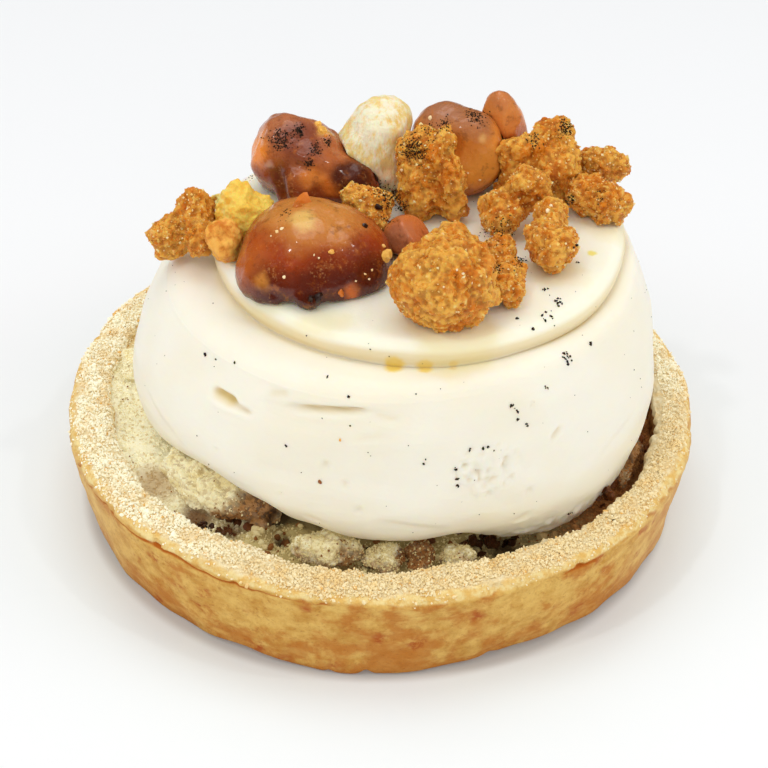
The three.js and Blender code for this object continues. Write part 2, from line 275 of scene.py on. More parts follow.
def bumps_at(angle, *bumps):
    """A sum of bumps round the tart, each (where and half how wide in degrees, how high)."""
    turn = math.degrees(angle)
    return sum(high * bell((turn - place + 180) % 360 - 180, half) for place, half, high in bumps)


def smooth_step(value, low, high):
    share = min(1, max(0, (value - low) / (high - low)))
    return share * share * (3 - 2 * share)


def within(mark, first, last):
    """1 from first to last along a profile, fading over one step at each side."""
    return max(0, 1 - max(first - mark, mark - last, 0))


def drawn(points, spacing, first=0):
    """A smooth line through points, as (radius, height, mark). A mark counts the given points from first."""
    line = []
    points = [Vector(point) for point in points]
    ends = [points[0], *points, points[-1]]
    for i, (before, start, end, after) in enumerate(zip(ends, ends[1:], ends[2:], ends[3:])):
        count = max(1, round((end - start).length / spacing))
        for j in range(count):
            t = j / count
            square = 2 * before - 5 * start + 4 * end - after
            cube = 3 * start - before - 3 * end + after
            at = 0.5 * (2 * start + (end - before) * t + square * t * t + cube * t * t * t)
            line.append((at.x, at.y, first + i + t))
    return line + [(*points[-1], first + len(points) - 1)]


def turned(profile, steps, form):
    """Rolls a sheet round Z. form(radius, height, mark, angle) gives the place of each point."""
    shape = bmesh.new()
    rows = len(profile) - 1
    bmesh.ops.create_grid(shape, x_segments=steps, y_segments=rows, size=0.5)
    for vert in shape.verts:
        vert.co = form(*profile[round((vert.co.y + 0.5) * rows)], 2 * math.pi * vert.co.x)
    bmesh.ops.remove_doubles(shape, verts=shape.verts, dist=1e-4)
    bmesh.ops.recalc_face_normals(shape, faces=shape.faces)
    return shape


def polar(radius, angle, height):
    return Vector((radius * math.cos(angle), radius * math.sin(angle), height))


def lumpy(place, *lumps):
    """A sum of soft lumps and dents, each (how high, how far apart)."""
    return sum(high * noise.noise(place / apart) for high, apart in lumps)


def packed(place, size):
    """Grains pressed together, from 0 in the narrow creases to about 1 on the ones that stand highest."""
    (first, second, *_), (middle, *_) = noise.voronoi(place / size)
    return smooth_step(second - first, 0, 0.45) * (0.65 + 0.35 * noise.cell(middle * 9))


def crack(place, angle):
    """1 along the cracks that run just under the rim, and 0 away from them."""
    level = SHELL_HEIGHT - 1.3 + lumpy(place, (0.5, 8), (0.3, 2.2))
    half = 0.2 + 0.14 * max(0, noise.noise(place / 1.8))
    return min(1, bumps_at(angle, *CRACKS)) * bell(place.z - level, half)


def chips(place):
    """1 where a flake has come off the upper edge."""
    return smooth_step(noise.noise(place / 2.1 + Vector((7, 0, 0))), 0.26, 0.5)


def shell_point(radius, height, mark, angle):
    """A point of the shell. The marks count SHELL_CORNERS, from the base out and up, and in to the floor."""
    foot, wall, edge = within(mark, 2, 3), within(mark, 3, 5), within(mark, 5, 6)
    rim, inside = within(mark, 6, 8), within(mark, 8, 9)
    height += foot * bumps_at(angle, *FOOT_LIFTS)
    height += rim * uneven(angle, (3, 0.15, 40), (8, 0.15, 5), (17, 0.08, 0))
    radius += foot * uneven(angle, (5, 0.15, 20), (11, 0.15, 8), (29, 0.1, 0))
    radius += foot * bumps_at(angle, (264, 12, 0.5))
    radius += edge * uneven(angle, (6, 0.12, 10), (13, 0.1, 0))
    radius += inside * (uneven(angle, (7, 0.25, 0), (19, 0.25, 4)) + bumps_at(angle, (330, 28, 0.8)))
    place = polar(radius, angle, height)
    if mark > 1.5:  # past the flat of the base
        radius += max(wall, 0.6 * edge) * lumpy(place, (0.2, 5), (0.1, 1.9), (0.05, 0.8))
        radius -= 0.26 * crack(place, angle) + 0.4 * within(mark, 5.2, 6) * chips(place)
        radius -= inside * (0.4 + 0.5 * noise.noise(place / 1.1))
        crumb = 0.3 * packed(place, 0.8) + 0.25 * noise.noise(place / 1.6)
        height += within(mark, 6.6, 8.4) * (crumb + 0.15)
    return polar(radius, angle, height)


SHELL_CORNERS = [
    (0, 0),
    (BASE_FLAT, 0),
    (BASE_RADIUS - 0.7, 0.1),
    (BASE_RADIUS, 0.9),
    (BASE_RADIUS + 0.55 * (RIM_RADIUS - BASE_RADIUS), 0.5 * SHELL_HEIGHT),
    (RIM_RADIUS, SHELL_HEIGHT - 2 * RIM_ROUNDING),
    (RIM_RADIUS - RIM_ROUNDING, SHELL_HEIGHT - 0.2),
    (RIM_RADIUS - 0.5 * RIM_WIDTH, SHELL_HEIGHT),
    (INNER_RADIUS + RIM_ROUNDING, SHELL_HEIGHT - 0.1),
    (INNER_RADIUS, SHELL_HEIGHT - 2 * RIM_ROUNDING),
    (INNER_RADIUS - 0.5, 0.5 * SHELL_HEIGHT),
    (INNER_RADIUS - 1.4, FLOOR),
    (0, FLOOR),
]
EDGE_START = 5
LAST_SHOWN = 10
shell_profile = [(*SHELL_CORNERS[0], 0), *drawn(SHELL_CORNERS[1 : EDGE_START + 1], WALL_SPACING, 1)[:-1]]
shell_profile += drawn(SHELL_CORNERS[EDGE_START : LAST_SHOWN + 1], EDGE_SPACING, EDGE_START)
shell_profile += drawn(SHELL_CORNERS[LAST_SHOWN + 1 :], COARSE, LAST_SHOWN + 1)
shell_shape = turned(shell_profile, SHELL_STEPS, shell_point)
deep = shell_shape.verts.layers.float.new("deep")
for vert in shell_shape.verts:
    if vert.co.xy.length > BASE_FLAT + 2 and vert.co.z > 0.5 * SHELL_HEIGHT:
        upper_edge = smooth_step(vert.co.z, 11.6, 12.4) * (1 - smooth_step(vert.co.z, 12.9, 13.1))
        vert[deep] = crack(vert.co, math.atan2(vert.co.y, vert.co.x)) + 0.5 * chips(vert.co) * upper_edge


def pastry_paint(place):
    """Golden wall mottled orange and brown, more so near the foot, painted lighter at the sides, and a pale
    yellow rim.
    """
    height = place.along("Z")
    spot = place.patches(3.4, 5, 0.62)
    fine = place.patches(1.1, 5, 0.65)
    low = 1 - height.rising(0.5, 7)
    gold = place.patches(2.4, 5, 0.62).rising(0.34, 0.66).between(tint(208, 152, 66), tint(234, 190, 102))
    orange = (spot + place.patches(11, 3) * 0.5 + low * 0.16).rising(0.7, 0.92)
    wall = (orange * 0.75).between(gold, tint(194, 112, 34))
    blots = (1 - place.warped(1.6, 2.4).grains(4.2).rising(0.08, 0.36)) * fine.rising(0.4, 0.54)
    wall = (blots * 0.85).between(wall, tint(180, 80, 18))
    pores = place.patches(0.5, 5, 0.75).rising(0.54, 0.66)
    wall = (pores * 0.4).between(wall, tint(168, 92, 30))
    streaks = place.stretched(1, 1, 2.2).patches(3, 3, 0.5).rising(0.46, 0.72)
    wall = (streaks * (height.rising(8, 12.5) * 0.45 + 0.3)).between(wall, tint(244, 206, 116))
    # Painted light: the wall is lighter at the left and right, where the side lamps catch it
    lit_sides = place.along("X").maths("ABSOLUTE").rising(26, 39)
    wall = (lit_sides * 0.35).between(wall, tint(242, 208, 156))
    wall = place.marked("deep").rising(0.2, 0.9).between(wall, tint(190, 100, 22))
    crumbed = place.warped(2, 1.6).stretched(1, 1, 0).near((0, 0, 0), 38.5, 39.4)
    band = fine.rising(0.38, 0.62).between(tint(236, 190, 104), tint(249, 224, 156))
    rim = crumbed.between(band, fine.rising(0.3, 0.7).between(tint(242, 214, 156), tint(251, 238, 200)))
    inside = place.stretched(1, 1, 0).near((0.9, -0.5, 0), 34.5, 35.1)
    wall = inside.between(wall, fine.rising(0.4, 0.6).between(tint(122, 76, 36), tint(184, 130, 70)))
    crumb = place.patches(0.5, 4, 0.7) * 0.3 + place.patches(1.6, 3) * 0.25
    return {
        "Base Color": (height + place.patches(1.5, 3) * 0.6).rising(12.7, 13.1).between(wall, rim),
        "Roughness": spot.rising(0.2, 0.8) * 0.2 + 0.65,
        "Normal": crumb.as_bump(),
    }


shell = made("pastry_shell", shell_shape, surface("pastry", {"Specular IOR Level": 0.25}, pastry_paint))
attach(shell, "root")
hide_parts("tart_shell")


# Crumbs on the rim
# Pastry grated off the filed rim, lying on it in a loose pale pile that spills over the inner edge. Most
# grains are the size of coarse sand, some are small flakes, and a few come from the browned skin.
def spots_on(piece, count, share, seed):
    """Random spots on a piece, in millimetres, and their normals. share(place, normal) weighs its faces."""
    mesh = piece.data
    mesh.calc_loop_triangles()
    order = np.empty(3 * len(mesh.loop_triangles), np.int32)
    mesh.loop_triangles.foreach_get("vertices", order)
    points = np.empty(3 * len(mesh.vertices), np.float32)
    mesh.vertices.foreach_get("co", points)
    a, b, c = np.moveaxis(points.reshape(-1, 3)[order.reshape(-1, 3)] / MM, 1, 0)
    upright = np.cross(b - a, c - a)
    area = np.linalg.norm(upright, axis=1)
    normal = upright / np.maximum(area, 1e-9)[:, None]
    weight = area * share((a + b + c) / 3, normal)
    draw = np.random.default_rng(seed)
    pick = draw.choice(len(area), count, p=weight / weight.sum())
    u, v = np.sqrt(draw.random((count, 1))), draw.random((count, 1))
    return a[pick] * (1 - u) + b[pick] * u * (1 - v) + c[pick] * u * v, normal[pick]


def grain_form(create, **settings):
    """The corners and faces that every grain of one kind starts from."""
    shape = bmesh.new()
    create(shape, **settings)
    corners = np.array([vert.co for vert in shape.verts])
    faces = np.array([[vert.index for vert in face.verts] for face in shape.faces])
    shape.free()
    return corners, faces


BLOCK = grain_form(bmesh.ops.create_icosphere, subdivisions=1, radius=1)
SAND = grain_form(bmesh.ops.create_uvsphere, u_segments=4, v_segments=2, radius=1.1)


def strewn(name, form, places, sizes, tones, material, seed):
    """Many uneven grains as one mesh, each turned at random and marked with its tone, from 0 to 1."""
    draw = np.random.default_rng(seed)
    corners, faces = form
    count = len(places)
    turn = draw.normal(size=(4, count))
    w, x, y, z = turn / np.linalg.norm(turn, axis=0)
    rows = [
        [1 - 2 * (y * y + z * z), 2 * (x * y - z * w), 2 * (x * z + y * w)],
        [2 * (x * y + z * w), 1 - 2 * (x * x + z * z), 2 * (y * z - x * w)],
        [2 * (x * z - y * w), 2 * (y * z + x * w), 1 - 2 * (x * x + y * y)],
    ]
    turns = np.moveaxis(np.array(rows), 2, 0)
    knobs = draw.uniform(0.75, 1.2, (count, len(corners), 1))
    knobs = knobs * draw.uniform(0.65, 1.35, (count, 1, 3))
    grains = np.einsum("kij,knj->kni", turns, corners * knobs) * 0.5 * np.asarray(sizes)[:, None, None]
    points = (grains + np.asarray(places)[:, None, :]) * MM
    mesh = bpy.data.meshes.new(name)
    order = faces[None] + len(corners) * np.arange(count)[:, None, None]
    mesh.from_pydata(points.reshape(-1, 3), [], order.reshape(-1, faces.shape[1]))
    tone = mesh.attributes.new("tone", "FLOAT", "POINT")
    tone.data.foreach_set("value", np.repeat(tones, len(corners)).astype(np.float32))
    mesh.shade_flat()
    mesh.materials.append(material)
    piece = bpy.data.objects.new(name, mesh)
    bpy.context.scene.collection.objects.link(piece)
    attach(piece, "root")
    return piece


def ramp_of(low, high):
    """smooth_step for whole arrays."""

    def step(values):
        share = np.clip((values - low) / (high - low), 0, 1)
        return share * share * (3 - 2 * share)

    return step


def rim_share(place, normal):
    """The flat of the rim, out to its wavy outer edge. At the right its inner side is bare."""
    radius = np.hypot(place[:, 0], place[:, 1])
    angle = np.arctan2(place[:, 1], place[:, 0])
    edge = radius - 0.35 * np.sin(7 * angle + 1) - 0.25 * np.sin(17 * angle) - 0.2 * np.sin(43 * angle)
    thick = 0.75 + 0.25 * np.sin(23 * angle + radius)
    inner = radius - 1.8 * ramp_of(8, 28)(place[:, 0])
    on_rim = ramp_of(34.1, 34.6)(inner) * (1 - 0.93 * ramp_of(38.6, 39.4)(edge))
    return thick * on_rim * ramp_of(12.3, 12.9)(place[:, 2])


def piled(spots, height, seed):
    """Lifts spots by a random part of a height, as grains that lie on other grains."""
    places, normals = spots
    draw = np.random.default_rng(seed)
    places = places + normals * 0.04
    places[:, 2] += height * draw.random(len(places)) ** 1.6
    return places


def tones_of(count, dark_share, seed):
    """Mostly pale tones, from 0.4 to 1, with a share of brown ones below 0.2."""
    draw = np.random.default_rng(seed)
    return np.where(draw.random(count) < dark_share, draw.uniform(0, 0.2, count), draw.uniform(0.4, 1, count))


def crumb_paint(place):
    """Pale, and a little more golden at the front right. The lowest tones are brown."""
    tone = place.marked("tone")
    front = (place.along("X") * 0.6 - place.along("Y")).rising(12, 34)
    dull = front.between(tint(249, 240, 206), tint(234, 212, 158))
    pale = tone.rising(0.3, 0.9).between(dull, front.between(tint(254, 250, 228), tint(244, 229, 188)))
    golden = (place.patches(2.4, 4, 0.6).rising(0.5, 0.64) * 0.5).between(pale, tint(238, 204, 132))
    colour = tone.rising(0.12, 0.3).between(tint(230, 184, 108), golden)
    return {"Base Color": colour, "Emission Color": colour}


RIM_CRUMBS = [  # (name, form, how many, how high they pile, smallest, largest, share of brown ones, seed)
    ("rim_crumbs", SAND, 24000, 0.24, 0.16, 0.36, 0.03, 11),
    ("rim_flakes", BLOCK, 1500, 0.2, 0.3, 0.62, 0.05, 21),
]
# The faint emission is a painted glow, which stands for light that strays in the crumb
crumb_body = {"Roughness": 0.9, "Specular IOR Level": 0.2, "Emission Strength": 0.06}
crumb_finish = surface("pastry_crumb", crumb_body, crumb_paint)
draw = np.random.default_rng(3)
for name, form, count, height, smallest, largest, brown, seed in RIM_CRUMBS:
    places = piled(spots_on(shell, count, rim_share, seed), height, seed + 1)
    sizes = draw.uniform(smallest, largest, count)
    tones = tones_of(count, brown, seed + 2)
    strewn(name, form, places, sizes, tones, crumb_finish, seed + 3)


# Nut filling
# A sponge of ground nuts baked in the shell. What shows is the ring between rim and cream: a crumbly crust,
# pale and greenish at the left where it is high, and browner at the front and right where it has sunk,
# partly as painted shade, with painted shadow under the cream's foot and in the hollows.
FILLING_MIDDLE = 11
FILLING_HIGH = 12.7
FILLING_LOW = 9.6
GAP = 0.3
FILLING_WALL = INNER_RADIUS - 0.5 - GAP
CRUST_EDGE = INNER_RADIUS + 0.2  # the crust clings to the shell's wall
CRUST_SPACING = 0.24
FILLING_STEPS = 720
HOLLOWS = [  # (x, y, half width, depth)
    (-13.2, -21.8, 2.6, 1.4),
    (-0.6, -28.6, 1.5, 1.6),
    (15.2, -26.2, 2.4, 1.5),
    (-17, -24.5, 2, 0.8),
    (-21.6, -23.6, 1.8, 1),
    (-11.4, -26.4, 1.6, 1.3),
]
# Painted shade in the hollows under the cream and the lumps
PAINTED_HOLLOW_SHADE = [  # (place, all dark within, none beyond, how strong, colour)
    ((-27.4, -18.2, 11), 1, 4.6, 0.6, tint(172, 124, 42)),
    ((-21.8, -23.4, 10.5), 0.8, 3, 0.85, tint(120, 70, 20)),
    ((-17.4, -25.6, 10.5), 0.6, 2.6, 0.7, tint(112, 70, 34)),
    ((-13.5, -22, 10), 1, 3, 0.85, tint(56, 32, 16)),
    ((-11.4, -26.6, 10), 0.4, 1.7, 0.85, tint(60, 34, 16)),
    ((-0.6, -28.6, 9), 0.5, 1.8, 0.85, tint(56, 32, 16)),
    ((11.8, -27, 9.8), 0.6, 2.6, 0.4, tint(96, 62, 32)),
    ((15.2, -26, 9), 0.8, 2.6, 0.85, tint(56, 32, 16)),
]


def filling_level(radius, angle):
    """How bare the filling is of cream, from 0 to 1, and the height of its top without its bumps."""
    bare = smooth_step(radius, FILLING_WALL - 8, FILLING_WALL - 5)
    level = 0.5 * (FILLING_HIGH + FILLING_LOW)
    level += 0.5 * (FILLING_HIGH - FILLING_LOW) * math.cos(angle - math.radians(150))
    return bare, FILLING_MIDDLE + bare * (level - FILLING_MIDDLE)


def filling_point(radius, height, mark, angle):
    """A point of the filling. Its top, from mark 3 on, is a rough crust where the cream leaves it bare."""
    if mark < 3:
        return polar(radius, angle, height)
    place = polar(radius, angle, 0)
    bare, level = filling_level(min(radius, FILLING_WALL), angle)
    rough = bare * uneven(angle, (4, 0.25, 20), (9, 0.2, 35))
    crust = lumpy(place, (0.6, 3), (0.25, 1.2)) + 0.25 * (packed(place, 1) - 0.4)
    for x, y, half, depth in HOLLOWS:
        crust -= depth * bell(math.hypot(place.x - x, place.y - y), half)
    return polar(radius, angle, level + rough + crust * smooth_step(radius, 20, 24))


filling_profile = [
    *drawn([(0, FLOOR + GAP), (FILLING_WALL - 0.9, FLOOR + GAP), (FILLING_WALL, 0.5 * SHELL_HEIGHT)], COARSE),
    *drawn([(CRUST_EDGE, 0), (CRUST_EDGE - 12, 0)], CRUST_SPACING, 3),
    *drawn([(CRUST_EDGE - 13, 0), (0, 0)], COARSE, 4),
]


def laid_on(colour, place, overlays):
    """Lays stains, painted shade and painted highlights on a colour, each (place, all covered within, none
    beyond, how strong, colour).
    """
    for at, inner, outer, strength, overlay in overlays:
        colour = (place.near(at, inner, outer) * strength).between(colour, overlay)
    return colour


def filling_paint(place):
    """Pale green at the left, tan at the front left, grey green at the front right, brown at the right, with
    painted shade.
    """
    patch = place.patches(3, 4, 0.6)
    fine = place.patches(0.7, 5, 0.7)
    wavy = place.warped(4, 5)
    x, y = wavy.along("X"), wavy.along("Y")
    left = x.rising(-28, -16).between(tint(255, 250, 218), tint(230, 214, 152))
    # Darker at the front, partly painted shade under the cream's overhang
    front = x.rising(-18, -6).between(left, tint(180, 160, 104))
    front = x.rising(10, 17).between(front, tint(150, 134, 90))
    right = x.rising(19, 27).between(front, tint(144, 90, 46))
    back = y.rising(0, 14).between(right, tint(232, 208, 148))
    crust = (fine.rising(0.36, 0.5) * 0.3 + 0.7).between(tint(196, 164, 104), back)
    brown = patch.rising(0.54, 0.66) * (x.rising(-22, -10) * 0.45 + 0.05)
    crust = brown.between(crust, tint(134, 92, 48))
    # Painted shadow under the foot of the cream
    crust = (place.stretched(1, 1, 0).near((0, 0, 0), 24.2, 27.4) * 0.85).between(crust, tint(70, 46, 24))
    # Painted shade in the hollows
    crust = laid_on(crust, place.warped(1.2, 2), PAINTED_HOLLOW_SHADE)
    return {"Base Color": crust, "Emission Color": crust, "Normal": (fine * 0.3).as_bump()}


# The faint emission is a painted glow too, which lifts the sponge, its crumbs and the crumble out of their
# shade
sponge_body = {"Roughness": 0.95, "Specular IOR Level": 0.15, "Emission Strength": 0.09}
filling = made(
    "baked_filling",
    turned(filling_profile, FILLING_STEPS, filling_point),
    surface("filling", sponge_body, filling_paint),
)
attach(filling, "root")
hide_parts("nut_filling")


# Crumbs on the filling
# Grains of the same sponge that broke off its crust, pale at the left and mixed with browned nut at the
# front. Most are as fine as sand, and some are bits a millimetre across.
FILLING_SAND = 11000
FILLING_BITS = 380


def filling_share(place, normal):
    """The ring between the cream and the rim."""
    radius = np.hypot(place[:, 0], place[:, 1])
    return ramp_of(25.5, 28)(radius) * (1 - ramp_of(34.8, 35)(radius)) * (normal[:, 2] > 0)


def bits_share(place, normal):
    """The front half of the ring, with few bits at its left end."""
    return filling_share(place, normal) * (0.15 + ramp_of(-24, -12)(place[:, 0])) * (place[:, 1] < 4)


def filling_crumb_paint(place):
    tone = place.marked("tone")
    x = place.along("X")
    # Pale at the left and darker to the right, partly painted shade, as on the crust
    pale = x.rising(-26, -10).between(tint(255, 251, 220), tint(226, 212, 156))
    pale = x.rising(8, 16).between(pale, tint(180, 162, 112))
    pale = x.rising(17, 26).between(pale, tint(170, 112, 60))
    dull = x.rising(12, 24).between(tint(206, 180, 122), tint(132, 84, 44))
    crumb = (tone.rising(0.35, 0.9) * 0.7 + 0.3).between(dull, pale)
    colour = tone.rising(0.14, 0.35).between(tint(140, 92, 48), crumb)
    # Painted shade in the hollows, as on the crust
    colour = laid_on(colour, place.warped(1.2, 2), PAINTED_HOLLOW_SHADE)
    return {"Base Color": colour, "Emission Color": colour}


sponge_crumb = surface("sponge_crumb", sponge_body, filling_crumb_paint)
sand = piled(spots_on(filling, FILLING_SAND, filling_share, seed=31), 0.08, seed=32)
sizes = draw.uniform(0.16, 0.38, FILLING_SAND)
tones = tones_of(FILLING_SAND, 0.015, seed=33)
tones = np.where((draw.random(FILLING_SAND) < 0.1) & (sand[:, 0] > -12), 0.1, tones)
strewn("filling_crumbs", SAND, sand, sizes, tones, sponge_crumb, seed=34)
bits = piled(spots_on(filling, FILLING_BITS, bits_share, seed=41), 0.3, seed=42)
sizes = 0.4 + 0.9 * draw.random(FILLING_BITS) ** 2
tones = np.where(bits[:, 0] < -16, 0.8, tones_of(FILLING_BITS, 0.2, seed=43))
strewn("filling_bits", BLOCK, bits, sizes, tones, sponge_crumb, seed=44)


# Crumble on the filling
# Broken lumps of baked crumb, tucked under the foot of the cream. They are pale and dusty on top, like coarse
# sand pressed together, and browned where they lay on the tray. Their undersides and the creases between
# their grains are darkened further with painted shade.
def skin_of(node, voxel, rounds):
    """A fine skin over a node's solid, with its edges softened, in millimetres."""
    block = bmesh.new()
    block.from_mesh(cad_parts[node].data)
    bmesh.ops.remove_doubles(block, verts=block.verts, dist=1e-7)
    bmesh.ops.scale(block, vec=(1 / MM,) * 3, verts=block.verts)
    mesh = bpy.data.meshes.new("block")
    block.to_mesh(mesh)
    block.free()
    solid = bpy.data.objects.new("block", mesh)
    bpy.context.scene.collection.objects.link(solid)
    remesh = solid.modifiers.new("skin", "REMESH")
    remesh.mode = "VOXEL"
    remesh.voxel_size = voxel
    skin = bmesh.new()
    skin.from_object(solid, bpy.context.evaluated_depsgraph_get())
    bpy.data.objects.remove(solid)
    every_way = {"use_axis_x": True, "use_axis_y": True, "use_axis_z": True}
    for _ in range(rounds):
        bmesh.ops.smooth_vert(skin, verts=skin.verts, factor=0.5, **every_way)
    skin.normal_update()
    return skin


def roughened(skin, relief):
    """Moves each point out by the broad and fine parts of relief(place), and marks it with the fine one."""
    stands = skin.verts.layers.float.new("stands")
    moves = []
    for vert in skin.verts:
        broad, vert[stands] = relief(vert.co)
        moves.append((vert, (broad + vert[stands]) * vert.normal))
    for vert, move in moves:
        vert.co += move
    return skin


def flattened(skin, facets):
    """Presses flat what lies beyond each facet, given by a point on it and the way it faces."""
    for at, facing in facets:
        at, facing = Vector(at), Vector(facing).normalized()
        for vert in skin.verts:
            beyond = (vert.co - at).dot(facing)
            if beyond > 0:
                vert.co -= 0.85 * beyond * facing
    skin.normal_update()
    return skin


def crumble_relief(place):
    """Lumps, and the grain of the crumb."""
    grain = 0.14 * (packed(place, 1) - 0.45) + 0.2 * (packed(place, 0.5) - 0.45)
    return lumpy(place, (0.7, 2.2), (0.2, 1.1)), grain + 0.16 * noise.noise(place / 0.6)


CRUMBLE_FACETS = {
    "filling_crumble_1": [
        ((-20.5, -19.5, 15.2), (-0.05, -0.3, 0.95)),
        ((-21.2, -23.2, 13.4), (-0.62, -0.76, 0.25)),
        ((-13.6, -25.6, 13), (0.25, -0.9, 0.3)),
        ((-12.9, -25.2, 13.4), (0.8, -0.55, 0.1)),
    ],
    "filling_crumble_2": [((-8, -30, 13), (-0.6, -0.7, 0.4))],
}
CRUMBLE_BROWNS = [  # (place, all brown within, none beyond)
    ((-14.2, -24.6, 14), 2, 4.2),
    ((-18, -25, 11.4), 1.8, 3.4),
    ((4.8, -30, 12), 1.8, 2.8),
    ((9.8, -30.2, 11), 0.5, 1.8),
    ((2.4, -30.4, 11.2), 0.3, 1.5),
    ((-4.2, -30, 11.8), 0.6, 2.2),
    ((12.5, -28, 11), 1, 2.4),
    ((31.4, -11, 10.6), 2.5, 6),
]
# Where the end of the first lump is painted black, as the shadow of the hole under the cream
HOLE_SHADOW = (-11.8, -25.8, 13)  # the black hole at the end of the first lump


def crumble_paint(place):
    """Pale and sandy on top; brown below, as browned crust and painted shade; painted shade between grains
    and in the hole.
    """
    stands = place.marked("stands")
    wavy = place.warped(1.8, 2)
    grain = place.by_grain(0.5)
    top = place.patches(1.6, 4, 0.6)
    pale = top.rising(0.35, 0.65).between(tint(245, 230, 174), tint(255, 248, 210))
    baked = grain.rising(0.2, 0.8).between(tint(92, 48, 20), tint(164, 108, 54))
    # Brown below: browned crust, and painted shade under the lumps
    under = (place.along("Z") + (top - 0.5) * 5).rising(10.9, 12.8)
    colour = (under * 0.8 + 0.2).between(baked, pale)
    for at, inner, outer in CRUMBLE_BROWNS:
        colour = (wavy.near(at, inner, outer) * 0.9).between(colour, baked)
    # Painted shade between the grains
    colour = ((1 - stands.rising(-0.2, -0.04)) * 0.45).between(colour, tint(160, 116, 60))
    # Painted black shadow in the hole at the end of the first lump
    colour = (wavy.near(HOLE_SHADOW, 0.9, 2.2) * 0.9).between(colour, tint(44, 24, 12))
    relief = place.patches(0.35, 4, 0.7) * 0.2
    return {"Base Color": colour, "Emission Color": colour, "Normal": relief.as_bump()}


crumble_finish = surface("crumble", sponge_body, crumble_paint)
crumble = []
for node in [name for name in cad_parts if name.startswith("filling_crumble")]:
    skin = flattened(skin_of(node, 0.2, 2), CRUMBLE_FACETS.get(node, []))
    lump = made("baked_" + node, roughened(skin, crumble_relief), crumble_finish)
    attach(lump, "root")
    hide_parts(node)
    crumble.append(lump)


def crumble_share(place, normal):
    """All but the underside and the hole."""
    away = np.linalg.norm(place - np.array(HOLE_SHADOW), axis=1)
    return (normal[:, 2] > -0.2) * ramp_of(1.2, 2.4)(away)


def spots_on_each(pieces, count, share, seed):
    """So many random spots on each of some pieces, as one array of places."""
    return np.concatenate([spots_on(piece, count, share, seed + i)[0] for i, piece in enumerate(pieces)])


CRUMBLE_SAND = 520  # grains on each lump
sand = spots_on_each(crumble, CRUMBLE_SAND, crumble_share, seed=50)
brown = np.zeros(len(sand))
for at, inner, outer in CRUMBLE_BROWNS:
    brown = np.maximum(brown, 1 - ramp_of(inner, outer)(np.linalg.norm(sand - np.array(at), axis=1)))
browned = draw.random(len(sand)) < 0.01 + 0.85 * brown
brown_tones = 0.25 * draw.random(len(sand))
pale_tones = 0.5 + 0.5 * draw.random(len(sand))
tones = np.where(browned, brown_tones, pale_tones)
sizes = draw.uniform(0.14, 0.34, len(sand))
strewn("crumble_sand", SAND, sand, sizes, tones, sponge_crumb, seed=61)


# Cream
# Whipped cream piped in two turns, a bulging one and a flatter one set off to the right and back. It is
# smooth and satiny, with slits and folds where the turns pull, small burst bubbles, and a groove between
# the turns.
CREAM_FOOT = FILLING_MIDDLE + GAP
CREAM_LIP = 13.6
LIP_REACH = 12
CRUST_BUMPS = 0.45  # of the filling, under the lip
CREAM_RADIUS = 32.6
SHOULDER_HEIGHT = 34.3
CREAM_TOP = 37.1
UPPER_RADIUS = 25.1
LOWER_CENTRE = Vector((1.5, 0, 0))
UPPER_CENTRE = Vector((4.4, 1.5, 0))
CREAM_TILT = 0.03
CREAM_MIDDLE = 0.5 * (CREAM_FOOT + SHOULDER_HEIGHT)
SIDE_SPACING = 0.34
LEDGE_SPACING = 0.09  # as a share of the ledge
TOP_SPACING = 1.5
CREAM_STEPS = 600
MILLIMETRES_A_DEGREE = math.radians(1) * (CREAM_RADIUS - 1)

# Where the lip rises over the crumble, or droops: (degrees round, half width in degrees, height)
LIP_RISES = [
    (237, 27, 3.4),
    (248, 4, -0.7),
    (260, 9, -1.2),
    (285, 8, 1.4),
    (325, 30, -2.4),
    (308, 14, -1.5),
]

# Slits and folds on the side: (degrees round, height) at both ends, half width, depth
CREAM_SLITS = [
    ((226, 29.1), (233.5, 29.1), 0.46, 0.85),
    ((231, 29), (238.5, 28.8), 0.32, 0.45),
    ((246.5, 30.7), (264.6, 32), 0.34, 0.4),
    ((240, 31.2), (246, 32), 0.5, 0.28),
    ((261, 28.9), (268.5, 29.6), 0.4, 0.16),
    ((265.5, 31.7), (271.5, 31.2), 0.4, 0.2),
    ((304.5, 26.3), (307.6, 27.5), 0.36, 0.35),
    ((296, 16.2), (300, 16.8), 0.4, 0.3),
    ((252, 18.2), (257, 17.4), 0.35, 0.22),
    ((40, 25), (52, 26.5), 0.4, 0.4),
    ((120, 21), (131, 20), 0.4, 0.35),
]
CREAM_FOLDS = [
    ((239, 30.3), (248, 31), 1.1, 0.3),
    ((247, 31), (265, 32), 1.2, 0.5),
    ((268, 18.9), (281, 17.2), 1.2, 0.35),
    ((205, 22), (219, 20), 1.6, 0.2),
    ((318, 20), (333, 22.6), 1.5, 0.25),
    ((70, 29), (96, 27), 1.5, 0.3),
    ((150, 25), (170, 27), 1.5, 0.3),
]
POROUS_PATCH = (289.5, 24.6)  # degrees round, height
POROUS_HALF = (8.5, 3.6)
CREAM_PITS = [  # (degrees round, height, half width)
    (256.2, 25.5, 0.5),
    (260.6, 23.5, 0.45),
    (247, 20.5, 0.35),
    (301, 31, 0.3),
    (231, 23, 0.3),
    (263.5, 20.4, 0.4),
    (299, 20.5, 0.4),
    (81, 22, 0.4),
    (140, 28, 0.4),
]


def across(degrees, height, start, end):
    """How far a place on the side lies along a line, from 0 to 1, and how far above it, in millimetres."""
    run = Vector(((end[0] - start[0]) * MILLIMETRES_A_DEGREE, end[1] - start[1]))
    away = Vector(((degrees - start[0]) * MILLIMETRES_A_DEGREE, height - start[1]))
    return away.dot(run) / run.length_squared, away.dot(Vector((-run.y, run.x))) / run.length


